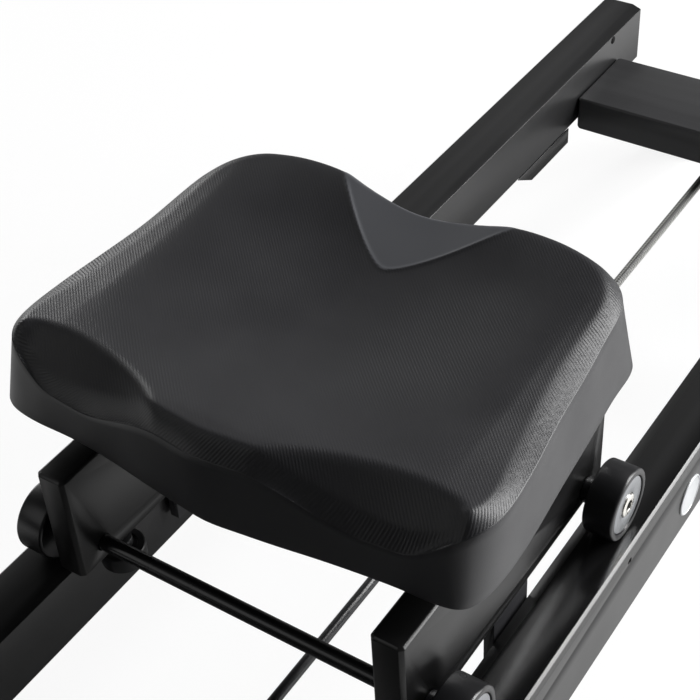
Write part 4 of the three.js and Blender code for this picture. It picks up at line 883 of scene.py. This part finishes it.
# Axles, rollers and guide rollers; rows along X count from the machine's middle
RAIL_INNER, RAIL_SIDE = span("rail_right", "x")
AXLE_RADIUS = 4.75
AXLE_END = span("axle_front", "x")[1]
COLLAR_RADIUS = radius_of("axle_front")
COLLAR_START, COLLAR_END = 114.5, 122.3
ROLLER_RADIUS = radius_of("roller_front_right")
ROLLER_START, ROLLER_END = span("roller_front_right", "x")
ROLLER_DISH = ROLLER_END - 1.6  # the face inside the tyre's rim
GUIDE_RADIUS = 13.5
GUIDE_X, GUIDE_Y, _ = middle_of("guide_roller_right")
GUIDE_LOW, GUIDE_HIGH = span("guide_roller_right", "z")
GLIDE_SCREW_AT = (108.0, 180.0, 269.9)
for end in ("front", "rear"):
    half = [(AXLE_RADIUS, 0), (AXLE_RADIUS, COLLAR_START), (COLLAR_RADIUS - 0.4, COLLAR_START)]
    half += [(COLLAR_RADIUS, COLLAR_START + 0.4), (COLLAR_RADIUS, COLLAR_END - 0.4)]
    half += [(COLLAR_RADIUS - 0.4, COLLAR_END), (AXLE_RADIUS, COLLAR_END), (AXLE_RADIUS, AXLE_END - 0.6)]
    half += [(AXLE_RADIUS - 0.6, AXLE_END), (0, AXLE_END)]
    rows = [(r, -x) for r, x in reversed(half)][:-1] + half[1:]
    middle = middle_of(f"axle_{end}")
    axle = lathe(f"axle_{end}_bar", rows, middle, ALONG_X, 64)
    fit(axle, f"axle_{end}", "axle", [f"axle_{end}"])
    for side, sign in SIDES.items():
        like = f"roller_{end}_{side}"
        axis = (sign, 0, 0)
        bore = AXLE_RADIUS + 0.3
        rows = [(bore, ROLLER_START)] + eased(ROLLER_RADIUS, ROLLER_START, ROLLER_END, 1.7)
        rows += [(18.6, ROLLER_END), (18.1, ROLLER_END - 0.3), (17.7, ROLLER_DISH), (bore, ROLLER_DISH)]
        rows += [(bore, ROLLER_START)]
        fit(lathe(like + "_tyre", rows, middle, axis, 96), like, "roller", [like])
        disc = [(7.6, 0.05), (7.6, 0.65), (8.2, 0.9), (16.6, 0.9), (17.3, 0.6), (17.5, 0.05)]
        disc.append(disc[0])
        rows = [(r, ROLLER_DISH + x) for r, x in disc]
        fit(lathe(like + "_disc", rows, middle, axis), like, "silver")
        tip = (sign * (AXLE_END + 0.05), *middle[1:])
        screw(like + "_screw", tip, axis, f"axle_{end}", 7.2, 1.3, 3.4, "bright")

for side, sign in SIDES.items():
    like = f"guide_roller_{side}"
    rows = [(4.3, GUIDE_LOW)] + eased(GUIDE_RADIUS, GUIDE_LOW, GUIDE_HIGH, 1.4)
    rows += [(9.0, GUIDE_HIGH), (8.6, GUIDE_HIGH - 0.8), (4.3, GUIDE_HIGH - 0.8), (4.3, GUIDE_LOW)]
    wheel = lathe(like + "_wheel", rows, (sign * GUIDE_X, GUIDE_Y, 0), ALONG_Z, 64)
    fit(wheel, like, "roller", [like])
    place = (sign * GLIDE_SCREW_AT[0], *GLIDE_SCREW_AT[1:])
    screw(f"glide_screw_{side}", place, ALONG_Z, f"glide_bracket_{side}", 3.5, 1.6, 1.5)


# Strap pulleys and cord idlers on the tower
def pulley_rows(radius, top, half, bore, flange=2.0):
    rows = [(bore, -half), (top - 0.5, -half), (top, -half + 0.5), (top, -half + flange - 0.4)]
    rows += [(radius + 0.4, -half + flange), (radius, -half + flange + 0.4)]
    rows += [(r, -p) for r, p in reversed(rows)]
    return rows + [rows[0]]


PULLEYS = {
    # name: radius between the flanges
    "strap_pulley_lower": 20.0,
    "strap_pulley_upper": 16.0,
    "recoil_idler_upper": 12.0,
    "recoil_idler_lower": 12.0,
}
PULLEY_BORE = 4.3
TOWER_SIDE = 21.05
for name, radius in PULLEYS.items():
    middle = middle_of(name)
    rows = pulley_rows(radius, radius_of(name), span(name, "x")[1], PULLEY_BORE)
    fit(lathe(name + "_wheel", rows, middle, ALONG_X), name, "plastic", [name])
    for side, sign in SIDES.items():
        place = (sign * TOWER_SIDE, *middle[1:])
        screw(f"{name}_screw_{side}", place, (sign, 0, 0), "strap_tower", 5.5, 2.4, 2.2)

# Water tank: the drum, the water standing in the lower shell, the fill plug and the flange's bolts
TANK_Y = middle_of("tank_lower_shell")[1]
TANK = (0, TANK_Y, 0)
WATER_LOW, WATER_HIGH = 82.7, 143.0
WATER_RADIUS = 230.6
WATER_ROUND = 26.0  # radius of its bottom corner, as the shell's
PLUG_X = middle_of("fill_plug")[0]
FLANGE_SCREWS = 12
FLANGE_RADIUS = 240.0
FLANGE_TOP = 160.9
rows = [(8.3, 238.6), (23.6, 238.6), (24.0, 239.0), (24.0, 241.0), (11.7, 241.0), (11.7, 250.0)]
rows += [(38.6, 250.0), (39.0, 250.4), (39.0, 252.6), (38.6, 253.0), (30.0, 253.0), (30.0, 275.0)]
rows += [(38.6, 275.0), (39.0, 275.4), (39.0, 277.0), (38.6, 277.4), (8.3, 277.4), (8.3, 238.6)]
drum = lathe("strap_drum", rows, TANK, ALONG_Z, 96)
fit(drum, "strap_spool", "plastic", ["strap_spool"])

flat = WATER_RADIUS - WATER_ROUND
rows = [(8.4, WATER_HIGH), (8.4, 94.9), (18.4, 94.9), (18.4, WATER_LOW), (flat - 0.6, WATER_LOW)]
for k in range(9):
    angle = math.pi / 2 * k / 8
    rows.append((flat + WATER_ROUND * math.sin(angle), WATER_LOW + WATER_ROUND * (1 - math.cos(angle))))
rows += [(WATER_RADIUS, WATER_HIGH - 0.4), (WATER_RADIUS - 0.4, WATER_HIGH), (8.4, WATER_HIGH)]
fit(lathe("tank_water", rows, TANK, ALONG_Z, 128), "tank_lower_shell", "water")

rows = [(0, 216.6), (14.6, 216.6), (15, 217.0), (15, 228.6), (20.4, 228.6), (21, 229.2), (21, 237.0)]
rows += [(20.4, 237.6), (15, 237.6), (14.2, 243.0), (13.6, 243.6), (0, 243.6)]
cap = lathe("fill_cap", rows, (PLUG_X, TANK_Y, 0), ALONG_Z, 64)
fit(cap, "fill_plug", "plastic", ["fill_plug"])

for k in range(FLANGE_SCREWS):
    angle = 2 * math.pi * (k + 0.5) / FLANGE_SCREWS
    place = (FLANGE_RADIUS * math.cos(angle), TANK_Y + FLANGE_RADIUS * math.sin(angle), FLANGE_TOP)
    screw(f"flange_screw_{k}", place, ALONG_Z, "tank_upper_shell", 3.6, 2.6, 1.6, "steel", False)

# Transport wheels, the frame's bolts, and the rails' bolts, pins and plain round badge
BASE_SIDE = 279.0
WHEEL_AT = (0, *middle_of("transport_wheel_right")[1:])
SIDE_BOLTS = [(-1052.5, 85), (-1052.5, 120), (-507.5, 30), (-507.5, 115), (TANK_Y, 69)]
RAIL_BOLTS = [(-507.5, 215.0), (-507.5, 245.0), (740.0, 216.0), (786.0, 222.0)]
PIN_AT = (RAIL_INNER, 765.0, 253.5)
BADGE_AT = (RAIL_SIDE, 334.5, 225.5)
for side, sign in SIDES.items():
    like = f"transport_wheel_{side}"
    axis = (sign, 0, 0)
    rows = [(22.0, 281.0)] + eased(30.0, 279.6, 299.6, 3.0) + [(22.0, 298.2), (22.0, 281.0)]
    fit(lathe(like + "_tyre", rows, WHEEL_AT, axis, 96), like, "rubber", [like])
    rows = [(5.3, 280.0), (20.0, 280.0), (22.0, 281.2), (22.0, 298.0), (20.4, 298.6), (18.8, 296.6)]
    rows += [(10.0, 296.6), (9.4, 299.4), (5.3, 299.4), (5.3, 280.0)]
    fit(lathe(like + "_hub", rows, WHEEL_AT, axis, 96), like, "plastic")
    for k, (y, z) in enumerate(SIDE_BOLTS):
        place = (sign * BASE_SIDE, y, z)
        screw(f"side_bolt_{side}_{k}", place, axis, f"base_side_{side}", 7.0, 3.2, 3.0)
    for k, (y, z) in enumerate(RAIL_BOLTS):
        screw(f"rail_bolt_{side}_{k}", (sign * RAIL_SIDE, y, z), axis, f"rail_{side}", 7.0, 2.8, 3.0)
    rows = [(0, 0.6), (2.6, 0.6), (3.2, 0.3), (3.4, 0), (0, 0)]
    pin = lathe(f"rail_pin_{side}", rows, (sign * PIN_AT[0], *PIN_AT[1:]), (-sign, 0, 0), 32)
    fit(pin, f"rail_{side}", "pin_black_and_socket_shade")

rows = [(0, 0.7), (12.2, 0.7), (12.5, 1.0), (13.2, 1.0), (13.6, 0.6), (13.6, 0), (0, 0)]
fit(lathe("rail_badge", rows, BADGE_AT, ALONG_X, 96), "rail_right", "badge")

# Handle: the bar, two ribbed grips and their end caps
HANDLE = middle_of("handle_bar")
CORE_HALF = 52.0
CORE_RADIUS = 12.0
GRIP_RADIUS = radius_of("handle_bar")
GROOVE_RADIUS = 15.45
GROOVES_START, GROOVES_END = 58.0, 219.0
GROOVE_PITCH = 4.0
CLAMP_SCREW_X = 6.5


def ribbed_grip(sign):
    rows = [(12.1, 48.0), (12.6, 46.6), (13.4, 46.4), (15.6, 54.0), (GRIP_RADIUS, 56.0)]
    at = GROOVES_START
    while at < GROOVES_END:
        rows += [(GRIP_RADIUS, at), (GRIP_RADIUS, at + 2.3), (GROOVE_RADIUS, at + 2.7)]
        rows += [(GROOVE_RADIUS, at + 3.3), (GRIP_RADIUS, at + 3.7)]
        at += GROOVE_PITCH
    rows += [(GRIP_RADIUS, 222.0), (15.6, 225.0), (14.0, 228.4), (12.0, 229.8), (0, 230.0)]
    return [(r, sign * x) for r, x in rows]


ends = [(0, CORE_HALF), (CORE_RADIUS - 0.1, CORE_HALF), (CORE_RADIUS, CORE_HALF - 0.2)]
rows = [(r, -x) for r, x in ends] + ends[::-1]
fit(lathe("handle_core", rows, HANDLE, ALONG_X, 64), "handle_bar", "steel")
for side, sign in SIDES.items():
    grip = lathe(f"handle_grip_{side}", ribbed_grip(sign), HANDLE, ALONG_X, 64, 25)
    fit(grip, "handle_bar", "grip", ["handle_bar"])
for k, x in enumerate((-CLAMP_SCREW_X, CLAMP_SCREW_X)):
    screw(f"clamp_screw_{k}", (x, -397.0, 508.1), ALONG_Z, "strap_clamp", 3.4, 2.2, 1.6)

# The strap's free run, the cord's free run and the bungee: each stretches between two bodies
CORD_Z = middle_of("recoil_cord_run")[2]
CORD_RADIUS = radius_of("recoil_cord_run")
CORD_SIDES = 20
CORD_STEPS = 160
CORD_ENDS = span("recoil_cord_run", "y")
LINK_ENDS = span("recoil_link", "y")
BUNGEE_START, KNOT_END = span("recoil_bungee", "y")
BUNGEE_ENDS = BUNGEE_START, 778.0
STRAP_LEFT, STRAP_RIGHT = span("strap_run", "x")
STRAP_LOW, STRAP_HIGH = span("strap_run", "z")
STRAP_STEPS = 16
STRAP_ENDS = span("strap_run", "y")


def straight_run(name, section, ends, steps, degrees):
    """A run along Y. The section's rows are x, z and the place across the weave."""
    rings, weave = [], []
    for k in range(steps + 1):
        y = ends[0] + (ends[1] - ends[0]) * k / steps
        rings.append([(x, y, z) for x, z, across in section])
        weave += [(across, y * MM, 0.0) for x, z, across in section]
    return swept(name, rings, degrees, weave)


def cord_run(name, ends):
    section = []
    for i in range(CORD_SIDES):
        angle = 2 * math.pi * i / CORD_SIDES
        x, z = CORD_RADIUS * math.cos(angle), CORD_Z + CORD_RADIUS * math.sin(angle)
        section.append((x, z, i / CORD_SIDES))
    return straight_run(name, section, ends, CORD_STEPS, 50)


def stretched(piece, material, instead):
    piece.data.materials.append(materials[material])
    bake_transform(piece)
    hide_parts(instead)


cord = cord_run("cord_run", CORD_ENDS)
stretched(cord, "braid", "recoil_cord_run")
bungee = cord_run("bungee_run", BUNGEE_ENDS)
stretched(bungee, "bungee", "recoil_bungee")
rows = [(0, 777.0), (3.4, 777.0), (3.4, 782.4)] + eased(9.0, 782.6, KNOT_END, 4.5) + [(0, KNOT_END)]
knot = lathe("bungee_knot", rows, (0, 0, CORD_Z), ALONG_Y, 48)
fit(knot, "recoil_bungee", "braid")

sleeve = eased(8.0, *LINK_ENDS, 2.2)
waist = [(8.0, 376.0), (7.3, 377.0), (7.3, 397.0), (8.0, 398.0)]
rows = [(0, LINK_ENDS[0])] + sleeve[:EASE_STEPS + 1] + waist
rows += sleeve[EASE_STEPS + 1:] + [(0, LINK_ENDS[1])]
link = lathe("cord_link", rows, (0, 0, CORD_Z), ALONG_Y, 48)
fit(link, "recoil_link", "steel", ["recoil_link"])

section = [(x, STRAP_LOW, x * MM) for x in (STRAP_LEFT, STRAP_RIGHT)]
section += [(x, STRAP_HIGH, x * MM) for x in (STRAP_RIGHT, STRAP_LEFT)]
band = straight_run("strap_run_band", section, STRAP_ENDS, STRAP_STEPS, SHARP)
stretched(band, "webbing", "strap_run")

# Footboards: tread strips above the heel rests and a strap over each foot
FOOT_TILT = math.radians(50.0)
HEEL_Y, HEEL_Z = -350.0, span("footboard_right", "z")[0]
TREADS = 6
TREAD_START = 203.0
TREAD_PITCH = 14.0
TREAD_WIDTH = 5.0
TREAD_X = 36.0, 140.0
TREAD_OFF = 13.9, 15.3
ARCH_STEPS = 40
ARCH_X = middle_of("footboard_right")[0]  # the foot strap's middle
ARCH_HALF = 56.0
ARCH_FOOT = 13.0
ARCH_RISE = 44.0
ARCH_THICK = 1.8
ARCH_ALONG = 214.0, 244.0
BOX_FACES = (0, 1, 3, 2), (4, 6, 7, 5), (0, 4, 5, 1), (2, 3, 7, 6), (0, 2, 6, 4), (1, 5, 7, 3)


def box_piece(name, ranges, place):
    """One piece of boxes, each given by its ranges along three axes, that place puts in the machine."""
    points, faces = [], []
    for first, second, third in ranges:
        base = len(points)
        points += [Vector(place(a, b, c)) * MM for a in first for b in second for c in third]
        faces += [tuple(base + i for i in face) for face in BOX_FACES]
    piece = new_piece(name, points, faces, False)
    fix_normals(piece)
    return piece


def on_footboard(x, along, off):
    """A point for a place up the footboard's slope and off its back."""
    cos, sin = math.cos(FOOT_TILT), math.sin(FOOT_TILT)
    return x, HEEL_Y - along * cos + off * sin, HEEL_Z + along * sin + off * cos


def foot_strap(name, sign):
    """A band that arches over the foot, from one edge of the board to the other."""
    low, high = ARCH_ALONG
    rings = []
    for k in range(ARCH_STEPS + 1):
        angle = math.pi * k / ARCH_STEPS
        x = sign * (ARCH_X - ARCH_HALF * math.cos(angle))
        under = ARCH_FOOT + ARCH_RISE * math.sin(angle) ** 0.7
        over = under + ARCH_THICK
        corners = (low, under), (high, under), (high, over), (low, over)
        rings.append([on_footboard(x, *corner) for corner in corners])
    return swept(name, rings, 40)


for side, sign in SIDES.items():
    for k in range(TREADS):
        start = TREAD_START + TREAD_PITCH * k
        across = sorted(sign * x for x in TREAD_X)
        tread = (across, (start, start + TREAD_WIDTH), TREAD_OFF)
        strip = box_piece(f"tread_{side}_{k}", [tread], on_footboard)
        soften(strip, 0.6 * MM)
        fit(strip, f"footboard_{side}", "rubber")
    fit(foot_strap(f"foot_strap_{side}", sign), f"footboard_{side}", "strap")

# Monitor: bezel, display with plain numbers, rings round the buttons
MONITOR_HINGE = Vector((0, -519.0, 603.9))
MONITOR_TURN = Matrix.Rotation(math.radians(28.0), 3, "X")
FACE = 12.0  # the case's face, from the hinge
SCREEN_LOW, SCREEN_TOP = 45.0, 91.0
DISPLAY_HALF = 46.0
DISPLAY_MARGIN = 3.5
BEZEL_HALF = 52.4
BEZEL_GAP, BEZEL_WIDTH = 0.4, 1.8
BUTTON_X, BUTTON_Z = 24.0, 30.0
NUMBERS = [
    # text, left, bottom, digit's width and height, width of its bars
    ("12:30", -39.0, 62.0, 12.5, 22.0, 2.2),
    ("24", 24.0, 66.0, 8.0, 14.0, 1.5),
    ("2150", -39.0, 51.0, 4.4, 7.6, 0.9),
    ("98", 6.0, 51.0, 4.4, 7.6, 0.9),
    ("505", 25.0, 51.0, 4.4, 7.6, 0.9),
]
SEGMENTS = {
    "0": "abcdef", "1": "bc", "2": "abged", "3": "abgcd", "4": "fgbc", "5": "afgcd", "8": "abcdefg",
    "9": "abcdfg",
}


def on_monitor(x, y, z):
    """A point in the case's own frame, whose face is towards +Y, in the machine's frame."""
    return MONITOR_TURN @ Vector((x, y, z)) + MONITOR_HINGE


def digit_bars(text, left, bottom, width, height, line):
    """Flat bars of seven-segment numbers, as boxes on the display. The rower's right is -X."""
    bars, x = [], left
    deep = FACE - 0.45, FACE - 0.25
    top, middle = bottom + height, bottom + height / 2
    gap = line * 0.3
    for sign in text:
        if sign == ":":
            for share in (0.3, 0.7):
                z = bottom + height * share
                bars.append(((-x - line, -x), deep, (z - line / 2, z + line / 2)))
            x += line * 2.2
            continue
        across = (x + line, x + width - line)
        left_bar, right_bar = (x, x + line), (x + width - line, x + width)
        upper, lower = (middle + gap, top - gap), (bottom + gap, middle - gap)
        spots = {
            "a": (across, (top - line, top)),
            "g": (across, (middle - line / 2, middle + line / 2)),
            "d": (across, (bottom, bottom + line)),
            "f": (left_bar, upper),
            "b": (right_bar, upper),
            "e": (left_bar, lower),
            "c": (right_bar, lower),
        }
        for key in SEGMENTS[sign]:
            (x0, x1), height_range = spots[key]
            bars.append(((-x1, -x0), deep, height_range))
        x += width + line * 1.6
    return bars


panel_z = (SCREEN_LOW + DISPLAY_MARGIN, SCREEN_TOP - DISPLAY_MARGIN)
panel = ((-DISPLAY_HALF, DISPLAY_HALF), (FACE - 0.6, FACE - 0.5), panel_z)
fit(box_piece("display_panel", [panel], on_monitor), "monitor_screen", "lcd")
bars = [bar for number in NUMBERS for bar in digit_bars(*number)]
fit(box_piece("display_digits", bars, on_monitor), "monitor_screen", "ink")
proud = (FACE - 0.6, FACE + 0.5)
low, top = SCREEN_LOW - BEZEL_GAP, SCREEN_TOP + BEZEL_GAP
whole = (low - BEZEL_WIDTH, top + BEZEL_WIDTH)
bezel = [((-BEZEL_HALF, BEZEL_HALF), proud, z) for z in ((top, whole[1]), (whole[0], low))]
for x in (-BEZEL_HALF, BEZEL_HALF - BEZEL_WIDTH):
    bezel.append(((x, x + BEZEL_WIDTH), proud, whole))
fit(box_piece("display_bezel", bezel, on_monitor), "monitor_case", "steel_black")
for side, sign in SIDES.items():
    centre = on_monitor(sign * BUTTON_X, FACE, BUTTON_Z)
    facing = MONITOR_TURN @ Vector(ALONG_Y)
    rows = [(7.0, -0.2), (7.0, 0.4), (7.4, 0.8), (8.6, 0.6), (9.2, -0.2), (7.0, -0.2)]
    ring = lathe(f"button_ring_{side}", rows, centre, facing, 48)
    fit(ring, "monitor_case", "steel_black")


# Floor, world and lamps
LAMPS = {
    # name: (place, aimed at, width, height, watts)
    "right_softbox": ((2.35, 2.25, 1.5), (0.0, 0.15, 0.3), 1.7, 2.5, 190.0),
    "rim_light": ((1.08, 2.18, 2.62), (0.0, 0.15, 0.4), 0.6, 0.9, 55.0),
    "left_softbox": ((-2.6, 1.2, 1.2), (0.0, 0.15, 0.35), 1.2, 1.2, 26.0),
    "rear_backdrop": ((-2.3, 3.4, 1.9), (-0.1, 0.3, 0.35), 3.0, 2.2, 5.0),
    "front_fill": ((-1.7, -2.3, 2.2), (0.0, 0.1, 0.35), 2.0, 2.0, 8.0),
}
WHITE = (1.0, 1.0, 1.0, 1.0)
FLOOR_SIZE = 14.0
FLOOR_COLOR = (0.85, 0.85, 0.85, 1.0)
FLOOR_WHITE = 0.87  # how much of the floor the camera sees as plain white; the rest keeps the shadow
# The floor's brightness as reflections see it: dark ahead of the seat, bright at the right and far left.
# Each row is the low and high brightness, and where it starts and ends.
FLOOR_GLOW = (0.02, 1.3, 0.12, 0.38)
LEFT_GLOW = (0.0, 0.7, 0.38, 0.75)
FRONT_DIM = (0.15, 1.0, -0.2, -0.06)
GLOW_SLANT = 0.15
WORLD_LIGHT = 0.06


def add_lamp(name, place, target, width, height, watts):
    data = bpy.data.lights.new(name, "AREA")
    data.shape = "RECTANGLE"
    data.size = width
    data.size_y = height
    data.energy = watts
    lamp = bpy.data.objects.new(name, data)
    lamp.location = place
    lamp.rotation_euler = (Vector(target) - Vector(place)).to_track_quat("-Z", "Y").to_euler()
    bpy.context.scene.collection.objects.link(lamp)


def add_floor():
    half = FLOOR_SIZE / 2
    corners = [(-half, -half, 0), (half, -half, 0), (half, half, 0), (-half, half, 0)]
    floor = new_piece("floor", corners, [(0, 1, 2, 3)])
    material = bpy.data.materials.new("pale_floor")
    material.use_nodes = True
    tree = material.node_tree
    tree.nodes.clear()
    plain = node(tree, "BsdfDiffuse", {"Color": FLOOR_COLOR})
    path = node(tree, "LightPath")
    split = node(tree, "SeparateXYZ", {"Vector": place_of(tree)})
    x, y = split.outputs["X"], split.outputs["Y"]
    toward = plus(x, times(y, GLOW_SLANT))
    right = times(spread(toward, *FLOOR_GLOW), spread(y, *FRONT_DIM))
    left = spread(times(x, -1.0), *LEFT_GLOW)
    glow = node(tree, "Mix", data_type="FLOAT")
    tree.links.new(path.outputs["Is Camera Ray"], glow.inputs["Factor"])
    tree.links.new(math_node("MAXIMUM", right, left), glow.inputs["A"])
    glow.inputs["B"].default_value = 1.0
    white = node(tree, "Emission", {"Color": WHITE, "Strength": glow.outputs["Result"]})
    seen = math_node("MAXIMUM", path.outputs["Is Camera Ray"], path.outputs["Is Glossy Ray"])
    seen = math_node("MAXIMUM", seen, path.outputs["Is Transmission Ray"])
    share = times(seen, FLOOR_WHITE)
    mix = node(tree, "MixShader", {0: share, 1: plain.outputs[0], 2: white.outputs[0]})
    node(tree, "OutputMaterial", {"Surface": mix.outputs[0]})
    floor.data.materials.append(material)


def add_world():
    world = bpy.data.worlds.new("studio")
    bpy.context.scene.world = world
    world.use_nodes = True
    tree = world.node_tree
    tree.nodes.clear()
    path = node(tree, "LightPath")
    soft = node(tree, "Background", {"Color": WHITE, "Strength": WORLD_LIGHT})
    white = node(tree, "Background", {"Color": WHITE, "Strength": 1.0})
    seen = path.outputs["Is Camera Ray"]
    mix = node(tree, "MixShader", {0: seen, 1: soft.outputs[0], 2: white.outputs[0]})
    node(tree, "OutputWorld", {"Surface": mix.outputs[0]})


for name, values in LAMPS.items():
    add_lamp(name, *values)
add_floor()
add_world()
bpy.context.scene.view_settings.view_transform = "Standard"
